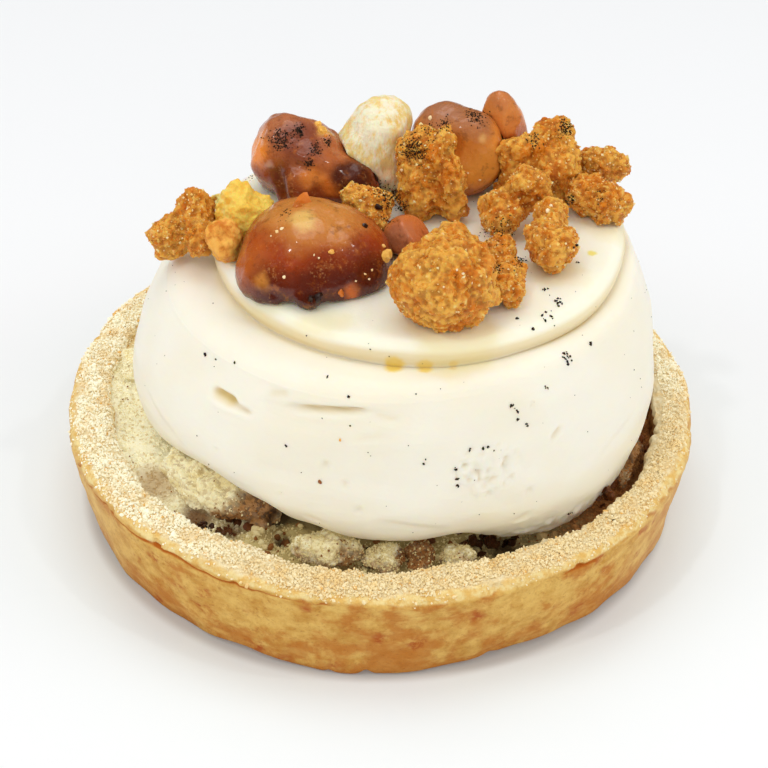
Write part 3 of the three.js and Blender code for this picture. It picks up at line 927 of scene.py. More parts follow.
def cream_side_relief(degrees, height):
    """How far the side stands out, and how deep in a slit or fold it lies, from 0 to 1."""
    out, shade = 0, 0
    for start, end, half, depth in CREAM_SLITS:
        if abs(degrees - start[0]) < 20 and abs(height - start[1]) < 6:
            along, above = across(degrees, height, start, end)
            taper = smooth_step(along, -0.12, 0.3) * (1 - smooth_step(along, 0.7, 1.12))
            cut = depth * taper * bell(above, half)
            out += 0.35 * depth * taper * bell(above + 1.7 * half, half) - cut
            shade += cut
    for start, end, half, depth in CREAM_FOLDS:
        if abs(degrees - 0.5 * (start[0] + end[0])) < 20 and abs(height - start[1]) < 8:
            along, above = across(degrees, height, start, end)
            taper = smooth_step(along, -0.15, 0.25) * (1 - smooth_step(along, 0.75, 1.15))
            edge = math.exp(above / half) if above < 0 else bell(above, 0.3 * half)
            out -= depth * taper * edge
            shade += 0.4 * depth * taper * bell(above, 0.35 * half)
    for place, level, half in CREAM_PITS:
        away = math.hypot((degrees - place) * MILLIMETRES_A_DEGREE, height - level)
        if away < 3 * half:
            out -= 0.8 * half * bell(away, half)
            shade += 0.5 * half * bell(away, half)
    return out, shade


def porous(degrees, height):
    """1 in the patch of burst bubbles, fading to 0 round it."""
    x = (degrees - POROUS_PATCH[0]) / POROUS_HALF[0]
    y = (height - POROUS_PATCH[1]) / POROUS_HALF[1]
    return 1 - smooth_step(math.hypot(x, y), 0.55, 1.15)


def clumps(place, size):
    """Rounded grains about size across: near 0.5 on a grain, and below 0 in the creases between grains."""
    return 0.5 - noise.voronoi(place / size)[0][0]


def lean(place):
    """Tilts the upper part, which stands a little higher at the right."""
    place.z += CREAM_TILT * place.x * smooth_step(place.z, CREAM_MIDDLE, SHOULDER_HEIGHT)
    return place


def lower_turn(radius, height, angle):
    """A point of the lower turn, whose lip is pressed up and in by the crumble at the left."""
    high = smooth_step(height, CREAM_MIDDLE, SHOULDER_HEIGHT)
    low = 1 - smooth_step(height, CREAM_LIP, CREAM_LIP + LIP_REACH)
    if radius > CREAM_RADIUS - 7.5 and low > 0:
        height += low * (bumps_at(angle, *LIP_RISES) + uneven(angle, (9, 0.25, 12)) + 0.3)
        height = max(height, filling_level(radius, angle)[1] + CRUST_BUMPS + GAP)
    if radius > 0:
        radius += uneven(angle, (3, 0.2, 70), (5, 0.15, 30)) - low * bumps_at(angle, (223, 15, 0.8))
    centre = LOWER_CENTRE + Vector((0.8 * high, 0, 0))
    return lean(polar(radius, angle, height) + centre)


def upper_turn(radius, height, angle):
    """A point of the upper turn, which is slightly out of round."""
    radius += uneven(angle, (3, 0.3, 15), (7, 0.12, 0)) * smooth_step(radius, 0, 10)
    return lean(polar(radius, angle, height) + UPPER_CENTRE)


def cream_point(radius, height, mark, angle):
    """The side runs to SHOULDER, the ledge from there to GROOVE, and the upper turn beyond it."""
    if mark <= SHOULDER:
        return lower_turn(radius, height, angle)
    if mark >= GROOVE:
        return upper_turn(radius, height, angle)
    start = lower_turn(*SHOULDER_POINT, angle)
    end = upper_turn(*GROOVE_POINT, angle)
    place = start.lerp(end, mark - SHOULDER)
    place.z = height + CREAM_TILT * place.x
    return place


CREAM_SIDE = [
    (CREAM_RADIUS - 5, CREAM_LIP - 1.4),
    (CREAM_RADIUS - 2, CREAM_LIP),
    (CREAM_RADIUS - 0.4, CREAM_LIP + 3),
    (CREAM_RADIUS, CREAM_LIP + 7.2),
    (CREAM_RADIUS - 0.8, CREAM_LIP + 12.4),
    (CREAM_RADIUS - 2.3, CREAM_LIP + 16.6),
    (CREAM_RADIUS - 3.8, CREAM_LIP + 19.3),
]
SHOULDER_POINT = CREAM_SIDE[-1]
GROOVE_POINT = (UPPER_RADIUS - 0.15, SHOULDER_HEIGHT - 0.12)
CREAM_TOP_LINE = [
    GROOVE_POINT,
    (UPPER_RADIUS, SHOULDER_HEIGHT + 0.2),
    (UPPER_RADIUS + 0.2, CREAM_TOP - 1.5),
    (UPPER_RADIUS - 0.5, CREAM_TOP - 0.5),
    (UPPER_RADIUS - 2, CREAM_TOP),
    (UPPER_RADIUS - 8, CREAM_TOP - 0.1),
    (UPPER_RADIUS - 13, CREAM_TOP - 0.2),
]
CREAM_MIDDLE_LINE = [(UPPER_RADIUS - 14, CREAM_TOP - 0.25), (0, CREAM_TOP - 0.4)]
# The ledge between the turns: (how far across it, height)
LEDGE_LINE = [
    (0, SHOULDER_POINT[1]),
    (0.12, 33.55),
    (0.27, 34.05),
    (0.45, 34.3),
    (0.7, 34.32),
    (0.88, 34.28),
    (0.96, 34.22),
    (1, GROOVE_POINT[1]),
]
SHOULDER = 1 + len(CREAM_SIDE)
GROOVE = SHOULDER + 1
cream_profile = drawn([(0, CREAM_FOOT), (CREAM_RADIUS - 8, CREAM_FOOT)], COARSE)
cream_profile += drawn(CREAM_SIDE, SIDE_SPACING, 2)
ledge = drawn(LEDGE_LINE, LEDGE_SPACING)[1:-1]
cream_profile += [(0, height, SHOULDER + share) for share, height, _ in ledge]
cream_profile += drawn(CREAM_TOP_LINE, SIDE_SPACING, GROOVE)
cream_profile += drawn(CREAM_MIDDLE_LINE, TOP_SPACING, GROOVE + len(CREAM_TOP_LINE))

# Places on top that the toppings have pressed in or that bulge round them: (x, y, half width, depth)
CREAM_DENTS = [(-6.8, -17.6, 3.4, 0.55), (-13.5, -3, 4, 0.5), (16, -3.5, 4.5, 0.35), (2.5, -23.6, 3, -0.25)]
cream_shape = turned(cream_profile, CREAM_STEPS, cream_point)
deep = cream_shape.verts.layers.float.new("deep")
for vert in cream_shape.verts:
    place = vert.co.copy()
    lower, upper = place - LOWER_CENTRE, place - UPPER_CENTRE
    level = place.z - CREAM_TILT * place.x
    groove = math.hypot(upper.xy.length - GROOVE_POINT[0], level - GROOVE_POINT[1])
    round_about = math.atan2(upper.y, upper.x)
    # The layer deep takes painted shade: in the groove between the turns, on the side of the upper turn, and
    # in the slits, folds and burst bubbles
    crease = 0.12 + bumps_at(round_about, (312, 16, 0.5))
    shadow = 0.12 + bumps_at(round_about, (215, 40, 0.2))
    shade = crease * bell(groove, 0.4) + shadow * bell(groove, 1.2)
    band = smooth_step(upper.xy.length, UPPER_RADIUS - 1.2, UPPER_RADIUS - 0.3)
    band *= smooth_step(level, 34.2, 35) * (1 - smooth_step(level, CREAM_TOP - 1.3, CREAM_TOP - 0.5))
    shade += 0.42 * band
    wide = Vector((place.x, place.y, 2.4 * place.z))
    swell = lumpy(wide, (0.5, 17), (0.16, 6), (0.035, 2))
    side = 1 - smooth_step(level, SHOULDER_HEIGHT - 2.2, SHOULDER_HEIGHT - 0.4)
    if side > 0 and lower.xy.length > UPPER_RADIUS:
        degrees = math.degrees(math.atan2(lower.y, lower.x)) % 360
        out, cut = cream_side_relief(degrees, place.z)
        shade += cut
        crinkle = porous(degrees, place.z)
        if crinkle > 0:
            burst = smooth_step(clumps(place + Vector((3, 0, 0)), 1), -0.02, 0.3)
            out -= crinkle * (0.34 * burst + 0.4 * noise.noise(place / 1.1))
            shade += 0.34 * crinkle * burst
        out += swell * smooth_step(place.z, CREAM_LIP - 1, CREAM_LIP + 2)
        ragged = 1 - smooth_step(place.z, CREAM_LIP, CREAM_LIP + 1.4)
        ragged *= bumps_at(math.radians(degrees), (300, 36, 0.4))
        out += ragged * noise.noise(place / 0.9)
        vert.co += side * out * Vector((lower.x, lower.y, 0)).normalized()
    if level > SHOULDER_HEIGHT - 2:
        vert.co.z += 0.5 * swell * (1 - side)
    if level > CREAM_TOP - 2:
        for x, y, half, depth in CREAM_DENTS:
            vert.co.z -= depth * bell(math.hypot(place.x - x, place.y - y), half)
    vert[deep] = shade


BUTTER = tint(240, 228, 176)
# Butter that ran off the toppings: (place, all stained within, none beyond, how strong, colour)
BUTTER_STAINS = [
    ((-7, -17.5, 37), 1, 4.5, 0.5, BUTTER),
    ((-13, -14, 37), 1, 4, 0.4, BUTTER),
    ((8, -21, 37), 4, 7, 0.6, BUTTER),
    ((20, -8, 37), 2, 5, 0.5, BUTTER),
    ((27, 2, 37.5), 2, 5, 0.4, BUTTER),
]
BUTTER_SPOTS = [
    ((1.5, -23.7, 34.7), 0.7, 1.5, 0.95, tint(245, 212, 96)),
    ((4.9, -24, 34.8), 0.6, 1.25, 0.9, tint(245, 214, 108)),
    ((8.2, -23.8, 34.9), 0.3, 0.9, 0.8, tint(242, 214, 128)),
    ((24.9, -4.4, 37.8), 0.3, 0.8, 0.9, tint(240, 226, 110)),
]


def cream_paint(place):
    """Off-white, warmer on top, painted lighter and warmer at the foot, golden painted shade in the folds,
    and stained with butter.
    """
    deep = place.marked("deep")
    height = place.along("Z")
    patch = place.patches(14, 2)
    white = patch.rising(0.35, 0.65).between(tint(244, 237, 217), tint(247, 241, 225))
    white = (height.rising(35.6, 36.6) * 0.8).between(white, tint(250, 247, 226))
    # Painted light: the foot is made lighter and warmer, to lift the shade it stands in
    low = (1 - height.rising(14, 22)) * 0.5
    white = low.between(white, tint(250, 238, 206))
    white = laid_on(white, place.warped(5, 6), BUTTER_STAINS)
    white = laid_on(white, place.warped(1, 0.7), BUTTER_SPOTS)
    # Painted shade, golden, in the groove, slits, folds and pits, and on the side of the upper turn
    colour = deep.rising(0.02, 0.9).between(white, tint(222, 196, 128))
    fine = place.stretched(1, 1, 3).patches(1.4, 4, 0.6) * 0.06 + place.patches(0.5, 3, 0.6) * 0.02
    return {"Base Color": colour, "Roughness": patch * 0.12 + 0.42, "Normal": fine.as_bump(0.7)}


cream_body = {
    "Subsurface Weight": 0.6,
    "Subsurface Radius": (1, 0.8, 0.5),
    "Subsurface Scale": 1.4 * MM,
    "Specular IOR Level": 0.35,
}
cream = made("whipped_cream", cream_shape, surface("cream", cream_body, cream_paint))
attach(cream, "root")
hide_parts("cream")


# Caramelised nuts
# Whole and half macadamias boiled in caramel, which set as a hard glossy coat, thick and dark at the bottom
# and thin and orange on the ridges. The colour rising from dark to orange is partly painted glow of light
# through the caramel. They rest on the cream where they were dropped.
def nut_relief(bumpiness, creases):
    """Dents, and creases between two places, each (start, end, half width, depth)."""

    def relief(place):
        out = 0.25 + bumpiness * lumpy(place, (0.3, 4), (0.12, 1.7))
        for start, end, half, depth in creases:
            start, run = Vector(start), Vector(end) - Vector(start)
            along = min(1, max(0, (place - start).dot(run) / run.length_squared))
            out -= depth * bell((place - start - along * run).length, half)
        return out, 0.05 * noise.noise(place / 0.7)

    return relief


def caramel_paint(steps, spots):
    """The coat's colour by height, from the bottom up, and then its spots."""

    def paint(place):
        wavy = place.warped(4, 3)
        level = wavy.along("Z")
        (start, colour), *rest = steps
        for height, tone in rest:
            colour = level.rising(start, height).between(colour, tone)
            start = height
        colour = laid_on(colour, wavy, spots)
        mottle = place.patches(1.3, 5, 0.62)
        colour = (mottle.rising(0.54, 0.7) * 0.3).between(colour, tint(214, 124, 44))
        colour = ((1 - mottle.rising(0.3, 0.44)) * 0.4).between(colour, tint(84, 30, 10))
        frost = (place.patches(0.3, 3, 0.6) + place.patches(3, 3) * 0.5).rising(0.86, 0.98)
        colour = (frost * 0.25).between(colour, tint(236, 176, 110))
        return {
            "Base Color": colour,
            "Roughness": place.patches(1.2, 4, 0.6).rising(0.3, 0.7) * 0.2 + 0.2,
            "Normal": (place.patches(0.7, 4, 0.6) * 0.16 + place.patches(2.5) * 0.2).as_bump(0.8),
        }

    return paint


caramel_body = {
    "Specular IOR Level": 0.25,
    "Coat Weight": 0.5,
    "Coat Roughness": 0.1,
    "Subsurface Weight": 0.12,
    "Subsurface Radius": (1, 0.35, 0.1),
    "Subsurface Scale": 1.2 * MM,
}
NUTS = {
    "nut_front": {
        "slot": "caramel_nut",
        "bumpiness": 0.7,
        "creases": [
            ((-12.5, -15, 38.2), (-10.5, -15.6, 37.2), 0.8, 0.5),
            ((-9.6, -15.1, 37.7), (-8.2, -15.3, 37.4), 0.7, -0.9),
        ],
        "facets": [],
        "steps": [
            (37, tint(70, 22, 9)),
            (39.6, tint(98, 32, 11)),
            (42, tint(156, 60, 17)),
            (44.4, tint(200, 128, 56)),
        ],
        "spots": [
            ((-2.7, -13.5, 39.5), 1.5, 5.5, 0.75, tint(88, 30, 16)),
            ((-7, -14.5, 40.6), 1, 3.6, 0.5, tint(98, 34, 16)),
            ((-16.4, -12, 40.5), 1, 5, 0.8, tint(190, 96, 34)),
            ((-9.6, -9.3, 44.7), 0.9, 2.3, 0.85, tint(226, 182, 98)),
            ((-14, -14.9, 39.2), 0.3, 1.4, 0.7, tint(214, 138, 54)),
            ((-3.8, -14.5, 38.2), 0.3, 1.5, 0.85, tint(212, 108, 34)),
            ((-1.2, -6.4, 42.2), 0.3, 1.3, 0.5, tint(198, 122, 62)),
        ],
    },
    "nut_left": {
        "slot": "caramel_nut",
        "bumpiness": 1.9,
        "creases": [
            ((-14.4, 6.4, 45), (-12.4, 4.6, 39.5), 0.9, 1.1),
            ((-11, 5.2, 43.4), (-5, 3.8, 42.6), 0.8, 0.9),
            ((-8.2, 3.4, 42.2), (-8, 3.2, 38.4), 0.7, 0.7),
        ],
        "facets": [((-10.5, 9, 45.6), (0.25, -0.5, 0.9))],
        "steps": [
            (37, tint(100, 38, 16)),
            (40, tint(140, 62, 26)),
            (43, tint(176, 96, 46)),
            (46, tint(180, 108, 68)),
        ],
        "spots": [
            ((-10.6, 7.6, 45.4), 1.8, 4, 0.8, tint(122, 58, 40)),
            ((-16.4, 9, 43.6), 1.4, 3.4, 1, tint(238, 138, 36)),
            ((-12.8, 5.4, 41.5), 0.8, 3, 0.8, tint(96, 36, 18)),
            ((-8.6, 3.6, 42.6), 0.8, 2.6, 0.95, tint(228, 136, 48)),
            ((-6.6, 3.8, 41.2), 0.6, 2, 0.8, tint(210, 112, 36)),
            ((-3.9, 5.2, 42), 1.8, 3.4, 0.92, tint(72, 26, 14)),
            # Painted highlights along the crease of the fold
            ((-14.9, 8.2, 44.4), 0.2, 0.9, 0.6, tint(216, 178, 162)),
            ((-14.5, 6.6, 42.6), 0.2, 0.9, 0.6, tint(210, 168, 150)),
            ((-7.6, 10.5, 45.6), 0.4, 1.6, 0.85, tint(234, 182, 96)),
        ],
    },
    "nut_back": {
        "slot": "toffee_nut",
        "bumpiness": 1.1,
        "creases": [],
        "facets": [((10.8, 8, 43), (0.12, -0.97, 0.12)), ((8.5, 10, 47.2), (-0.15, -0.3, 0.94))],
        "steps": [
            (37, tint(190, 104, 36)),
            (41, tint(232, 150, 52)),
            (45, tint(216, 134, 52)),
            (47.6, tint(172, 108, 66)),
        ],
        "spots": [
            ((12.4, 7, 42.6), 1, 4, 0.5, tint(224, 156, 72)),
            # Painted highlights near the top
            ((11.5, 8.2, 46.6), 0.3, 1.2, 0.7, tint(238, 186, 112)),
            ((14.4, 8.8, 45.8), 0.3, 1.6, 0.7, tint(236, 182, 106)),
            ((7, 12, 47.4), 1, 3, 0.5, tint(170, 116, 86)),
        ],
    },
    "nut_wedge": {
        "slot": "toffee_nut",
        "bumpiness": 0.7,
        "creases": [],
        "facets": [((13.6, 12.4, 44), (-0.62, -0.75, 0.15)), ((16.4, 13, 44), (0.8, -0.6, 0.05))],
        "steps": [
            (38, tint(150, 80, 36)),
            (42, tint(206, 120, 54)),
            (46, tint(222, 140, 66)),
            (49, tint(200, 122, 66)),
        ],
        "spots": [((16.6, 12, 46), 0.5, 2.4, 0.4, tint(176, 92, 44))],
    },
    "nut_chip": {
        "slot": "toffee_nut",
        "bumpiness": 0.8,
        "creases": [],
        "facets": [((1.8, -4.6, 39.4), (-0.5, -0.72, 0.48)), ((3.2, -3.4, 40.2), (0.5, -0.2, 0.85))],
        "steps": [(36.8, tint(118, 50, 22)), (38.6, tint(184, 96, 46)), (40.6, tint(196, 108, 54))],
        "spots": [((1.8, -4.8, 39.6), 0.8, 2.4, 0.6, tint(186, 118, 84))],
    },
}
toppings = []
for node, nut in NUTS.items():
    skin = flattened(skin_of(node, voxel=0.26, rounds=5), nut["facets"])
    finish = surface(node, caramel_body, caramel_paint(nut["steps"], nut["spots"]))
    piece = made("glazed_" + node, roughened(skin, nut_relief(nut["bumpiness"], nut["creases"])), finish)
    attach(piece, "root")
    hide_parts(node)
    toppings.append(piece)


# Pale nuts and a sliver of toffee
# One macadamia rolled in sugar while it was still sticky, one thinly coated in pale, clear caramel, and a
# thin splinter that broke off the set caramel.
def dusted_paint(place):
    """A yellow kernel under a streaky cover of white sugar."""
    streaks = place.stretched(1, 1, 0.4).patches(0.9, 5, 0.68)
    body = place.along("Z").rising(40, 43.5).between(tint(238, 196, 156), tint(248, 218, 140))
    body = place.patches(2, 4, 0.6).rising(0.5, 0.64).between(body, tint(238, 202, 112))
    cover = (streaks + place.patches(4, 3) * 0.5).rising(0.64, 0.88)
    colour = (cover * 0.9).between(body, tint(253, 246, 218))
    return {"Base Color": colour, "Roughness": streaks * 0.5 + 0.3, "Normal": (streaks * 0.5).as_bump()}


def golden_paint(place):
    """Pale yellow, deeper to the right, with a little brown at the bottom."""
    clear = place.patches(1.7, 5, 0.62)
    side = (place.along("X") + clear * 2).rising(-19.5, -16.5)
    pale = side.between(tint(255, 238, 150), tint(255, 216, 98))
    colour = clear.rising(0.4, 0.62).between(tint(255, 202, 80), pale)
    brown = (1 - place.along("Z").rising(37, 40)) * place.patches(1.2, 3).rising(0.45, 0.6)
    colour = (brown * 0.5).between(colour, tint(200, 122, 40))
    relief = place.patches(0.6, 4, 0.6) * 0.4 + place.by_grain(0.9) * 0.2
    return {"Base Color": colour, "Roughness": clear * 0.4 + 0.2, "Normal": relief.as_bump()}


def sliver_paint(place):
    clear = place.patches(1.4, 5, 0.62)
    colour = clear.rising(0.36, 0.6).between(tint(214, 126, 34), tint(250, 186, 84))
    return {"Base Color": colour, "Roughness": clear * 0.4 + 0.2, "Normal": (clear * 0.5).as_bump()}


def golden_relief(place):
    return lumpy(place, (1.1, 2.4), (0.5, 1)), 0.2 * (packed(place, 0.7) - 0.45)


def sliver_relief(place):
    return 0.45 + lumpy(place, (0.8, 2)), 0.2 * (packed(place, 0.7) - 0.45)


DUSTED_CREASE = ((-7, 5.6, 42.6), (1.5, 6.6, 41.6), 0.8, 0.8)
PALE_NUTS = {  # node: (name, slot, relief, paint)
    "nut_dusted": ("sugared_nut_dusted", "dusted_nut", nut_relief(1.7, [DUSTED_CREASE]), dusted_paint),
    "nut_pale": ("sugared_nut_pale", "golden_nut", golden_relief, golden_paint),
    "nut_sliver": ("caramel_nut_sliver", "toffee_nut", sliver_relief, sliver_paint),
}
pale_body = {"Subsurface Weight": 0.35, "Subsurface Scale": 1.4 * MM, "Specular IOR Level": 0.3}
for node, (name, slot, relief, paint) in PALE_NUTS.items():
    skin = roughened(skin_of(node, voxel=0.2, rounds=3), relief)
    piece = made(name, skin, surface(node, pale_body, paint))
    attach(piece, "root")
    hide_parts(node)
    toppings.append(piece)


# Caramelised clusters
# Crumb and chopped nut stirred into caramel, which binds it into rough golden lumps of sugary grains, orange
# where the caramel pooled, with painted shade between the grains and painted highlights on them.
noise.seed_set(1)  # so that noise_vector gives the same in every run


def cluster_relief(place):
    """Broad lumps, and grains packed together whose edges are bent."""
    bent = place + 0.6 * noise.noise_vector(place / 1.2)
    fine = 0.16 * (packed(bent, 1.4) - 0.5) + 0.14 * (packed(bent, 0.5) - 0.45)
    return lumpy(place, (0.8, 2.6), (0.45, 1.3)), fine + 0.34 * noise.noise(place / 0.7)


def cluster_paint(place):
    """Golden, with pools of orange caramel, painted shade between the grains and painted highlights on those
    that stand out.
    """
    stands = place.marked("stands")
    patch = place.patches(3.6, 4, 0.6)
    grain = place.by_grain(0.4)
    gold = (patch * 0.8 + grain * 0.2).rising(0.34, 0.64).between(tint(222, 130, 30), tint(246, 186, 80))
    pooled = place.warped(2, 2).patches(2.8, 4, 0.6).rising(0.54, 0.7)
    gold = (pooled * 0.6).between(gold, tint(208, 100, 12))
    # Painted shade between the grains
    colour = ((1 - stands.rising(-0.24, 0.02)) * 0.5).between(gold, tint(160, 72, 10))
    dark = place.patches(0.8, 4, 0.65).rising(0.62, 0.72)
    colour = (dark * 0.5).between(colour, tint(118, 54, 14))
    # Painted highlights on the grains that stand out
    colour = (stands.rising(0.04, 0.3) * grain.rising(0.3, 0.85) * 0.65).between(colour, tint(255, 228, 150))
    return {
        "Base Color": colour,
        "Roughness": grain * 0.4 + 0.2,
        "Normal": (place.patches(0.3, 4, 0.7) * 0.25).as_bump(),
    }


CLUSTER_FACETS = {"cluster_middle": [((8.6, 4, 44.5), (0.96, 0.1, 0.26)), ((4.5, 2, 44), (0.05, -0.97, 0.2))]}
cluster_body = {
    "Subsurface Weight": 0.45,
    "Subsurface Radius": (1, 0.5, 0.2),
    "Subsurface Scale": MM,
    "Specular IOR Level": 0.3,
}
cluster_finish = surface("cluster", cluster_body, cluster_paint)
clusters = []
for node in [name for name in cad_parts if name.startswith("cluster")]:
    skin = flattened(skin_of(node, voxel=0.17, rounds=2), CLUSTER_FACETS.get(node, []))
    cluster = made("caramel_" + node, roughened(skin, cluster_relief), cluster_finish)
    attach(cluster, "root")
    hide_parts(node)
    clusters.append(cluster)


def sugar_paint(place):
    tone = place.marked("tone")
    gold = tone.rising(0.2, 0.6).between(tint(222, 134, 36), tint(246, 190, 94))
    # The palest grains are partly painted highlights, glints on the sugar
    return {"Base Color": tone.rising(0.7, 1).between(gold, tint(253, 228, 172))}


def above(level):
    """Weighs faces for spots_on: all alike above a level, and none below it."""

    def share(place, normal):
        return 1.0 * (place[:, 2] > level)

    return share


GRAINS_A_CLUSTER = 800
sugar_body = {
    "Roughness": 0.3,
    "Subsurface Weight": 0.3,
    "Subsurface Scale": 0.6 * MM,
    "Specular IOR Level": 0.4,
}
sugar_finish = surface("sugar", sugar_body, sugar_paint)
places = spots_on_each(clusters, GRAINS_A_CLUSTER, above(35), seed=70)
sizes = 0.13 + 0.3 * draw.random(len(places)) ** 2
tones = draw.random(len(places))
strewn("cluster_grains", SAND, places, sizes, tones, sugar_finish, seed=90)


# Small bits
# Single crumbs of burnt sugar, orange caramel and pale sugar that fell off the toppings, and pieces of
# browned nut in the ring between cream and rim. The near-white bits on the front nut sit on its glints, as
# painted highlights as much as sugar, and the darkest pieces in the ring fill its hollows as painted shade.
# Pixels of the photograph say where they lie.
PEBBLE = grain_form(bmesh.ops.create_icosphere, subdivisions=2, radius=1)
# (x, y, size, tone): tone 0 is near black, for burnt sugar and for painted shade, 0.5 orange, and 1 pale, for
# sugar and for painted glints
TOPPING_BITS = [
    (303, 201, 1.7, 0.5), (297, 206, 1, 0.4), (386, 256, 1.3, 0.72), (383, 246, 0.5, 0.8),
    (331, 252, 0.7, 0.66), (319, 258, 0.4, 0.9), (314, 255, 0.25, 0.9), (284, 277, 0.3, 0.9),
    (277, 232, 0.45, 0.85), (282, 229, 0.4, 0.9), (271, 236, 0.3, 0.9), (365, 274, 0.35, 0.85),
    (372, 270, 0.3, 0.85), (369, 279, 0.25, 0.9), (356, 281, 0.25, 0.9), (341, 293, 0.9, 0.45),
    (318, 297, 1, 0), (311, 299, 0.8, 0), (322, 131, 1.1, 0.7), (318, 125, 0.8, 0.75),
    (326, 136, 0.7, 0.6), (378, 207, 0.9, 0), (365, 226, 0.8, 0), (574, 126, 1.1, 0.1),
    (577, 132, 0.8, 0.05), (548, 211, 0.6, 0.95), (551, 206, 0.4, 0.95), (463, 274, 0.35, 0.95),
    (457, 270, 0.3, 0.95), (472, 283, 0.3, 0.9), (444, 287, 0.3, 0.95), (519, 537, 0.6, 1),
    (493, 538, 0.9, 1), (498, 536, 0.5, 1), (320, 482, 0.45, 0.3), (340, 440, 0.35, 0.66),
    (430, 118, 0.5, 0.9), (402, 170, 0.4, 0.9), (480, 180, 0.35, 0.9), (468, 173, 0.3, 0.9),
]
# The darkest of these fill the hollows under the cream as painted shade
BROWNED_NUT_AND_SHADE = [
    (238, 524, 2, 0.1), (250, 527, 2.2, 0.16), (262, 524, 1.8, 0.1), (206, 529, 1.6, 0.06),
    (218, 534, 1.4, 0.1), (228, 531, 1.2, 0.2), (372, 560, 1.3, 0), (468, 544, 2.4, 0.1),
    (480, 547, 2.6, 0.06), (488, 541, 2, 0.1), (461, 554, 1.4, 0.16), (418, 549, 1.6, 0.16),
    (412, 558, 1.3, 0.1), (424, 560, 1.4, 0.2), (604, 491, 2, 0.2), (614, 482, 2.2, 0.25),
    (624, 470, 2, 0.2), (633, 458, 2, 0.28), (598, 500, 1.4, 0.12), (641, 446, 1.8, 0.3),
    (505, 545, 1.6, 0.04), (514, 541, 1.4, 0.08),
]
SMALL_BITS = [  # (name, slot, bits, parts of each, how far apart they lie, seed)
    ("topping_bits", "cluster", TOPPING_BITS, 1, 0, 101),
    ("browned_nut_and_shade", "filling", BROWNED_NUT_AND_SHADE, 7, 0.3, 102),
]
eye = camera.matrix_world.translation
depsgraph = bpy.context.evaluated_depsgraph_get()
targets = [BVHTree.FromObject(piece, depsgraph) for piece in [cream, shell, filling, *toppings, *clusters]]


def seen_at(x, y):
    """The nearest place in sight at a pixel, in millimetres, or None past the tart's edge."""
    way = Vector((x - PHOTO_SIDE / 2, PHOTO_SIDE / 2 - y, -LENS * PHOTO_SIDE))
    way = (camera.matrix_world.to_3x3() @ way).normalized()
    hits = [hit for hit in (tree.ray_cast(eye, way) for tree in targets) if hit[0]]
    return min(hits, key=lambda hit: hit[3])[0] / MM if hits else None


def bit_paint(place):
    """Near black, orange, yellow and white, by tone: burnt sugar and painted shade, caramel, and sugar and
    painted glints.
    """
    tone = place.marked("tone")
    orange = tone.rising(0.2, 0.5).between(tint(104, 58, 28), tint(216, 118, 38))
    yellow = tone.rising(0.55, 0.72).between(orange, tint(246, 190, 88))
    sugar = tone.rising(0.76, 0.95).between(yellow, tint(253, 234, 190))
    return {"Base Color": tone.rising(0.02, 0.14).between(tint(44, 20, 10), sugar)}


bit_finish = surface("topping_bits", {"Roughness": 0.3, "Specular IOR Level": 0.5}, bit_paint)
for name, slot, bits, parts, apart, seed in SMALL_BITS:
    seen = [(seen_at(x, y), size, tone) for x, y, size, tone in bits]
    seen = [bit for bit in seen if bit[0]]
    places, sizes, tones = [np.repeat(values, parts, axis=0) for values in zip(*seen)]
    places = places + apart * sizes[:, None] * draw.normal(size=places.shape)
    sizes = sizes * (draw.uniform(0.3, 0.75, len(sizes)) if apart else 1)
    strewn(name, PEBBLE, places, sizes, tones, bit_finish, seed)


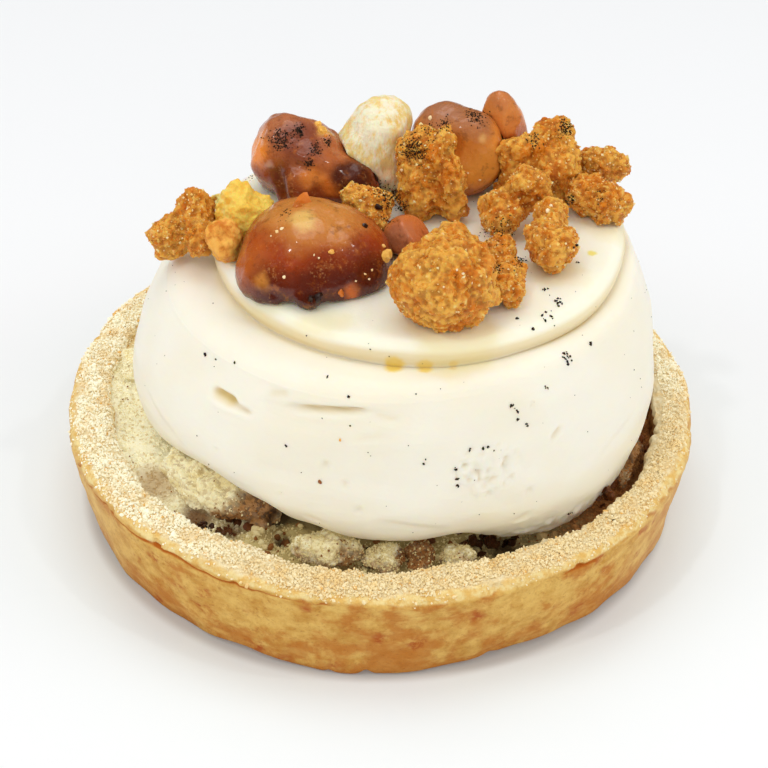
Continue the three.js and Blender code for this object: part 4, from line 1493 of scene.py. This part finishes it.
# Vanilla
# Black specks of vanilla and charred sugar, dusted over the top and caught in the cream. Pixels of the
# photograph say where the larger ones lie: (x, y, half width, how many).
VANILLA_DUST = [
    (281, 140, 9, 60), (299, 131, 5, 26), (316, 150, 5, 22), (328, 142, 4, 14), (309, 163, 5, 14),
    (415, 150, 12, 90), (393, 200, 8, 40), (403, 207, 4, 16), (380, 190, 8, 20), (566, 128, 7, 50),
    (536, 139, 7, 18), (571, 200, 4, 16), (492, 232, 10, 16), (519, 261, 5, 14), (498, 268, 4, 12),
    (478, 116, 9, 26), (445, 124, 6, 14), (471, 113, 5, 12), (600, 195, 6, 6), (430, 130, 8, 10),
    (387, 220, 5, 8), (505, 225, 8, 10), (288, 215, 8, 5), (250, 175, 6, 4),
]
VANILLA_SPOTS = [
    (548, 316, 5, 7), (559, 300, 4, 7), (546, 292, 4, 4), (533, 329, 2, 3), (566, 357, 5, 12),
    (590, 344, 2, 2), (546, 387, 2, 2), (512, 405, 2, 3), (515, 411, 2, 2), (518, 419, 1, 1),
    (527, 425, 1, 2), (484, 449, 4, 5), (470, 450, 2, 2), (494, 451, 1, 1), (456, 469, 2, 3),
    (457, 479, 1, 2), (458, 486, 1, 2), (424, 463, 2, 2), (569, 512, 2, 2), (616, 517, 2, 2),
    (517, 319, 1, 2), (205, 355, 1, 1), (216, 359, 1, 1), (235, 363, 1, 1), (328, 377, 1, 1),
    (349, 397, 1, 1), (350, 426, 1, 1), (286, 446, 1, 2), (576, 245, 2, 3), (578, 262, 2, 2),
]
FINE_SPECKS = 170


def scattered(groups, thickly, smallest, largest):
    """Places and sizes of specks: so many of them in each group, thinning out from its middle."""
    places, sizes = [], []
    for x, y, half, count in groups:
        for _ in range(round(thickly * count)):
            place = seen_at(x + 0.6 * half * draw.normal(), y + 0.6 * half * draw.normal())
            if place:
                places.append(place)
                sizes.append(draw.uniform(smallest, largest))
    return np.array(places), np.array(sizes)


def vanilla_paint(place):
    return {"Base Color": place.marked("tone").between(tint(22, 16, 12), tint(58, 44, 30))}


vanilla_finish = surface("vanilla", {"Roughness": 0.7, "Specular IOR Level": 0.2}, vanilla_paint)
dust, dust_sizes = scattered(VANILLA_DUST, 4, 0.09, 0.24)
spots, spot_sizes = scattered(VANILLA_SPOTS, 1.5, 0.2, 0.42)
fine, _ = spots_on(cream, FINE_SPECKS, above(16), seed=95)
places = np.concatenate([dust, spots, fine])
sizes = np.concatenate([dust_sizes, spot_sizes, draw.uniform(0.07, 0.2, FINE_SPECKS)])
tones = draw.random(len(places))
strewn("vanilla", SAND, places, sizes, tones, vanilla_finish, seed=96)
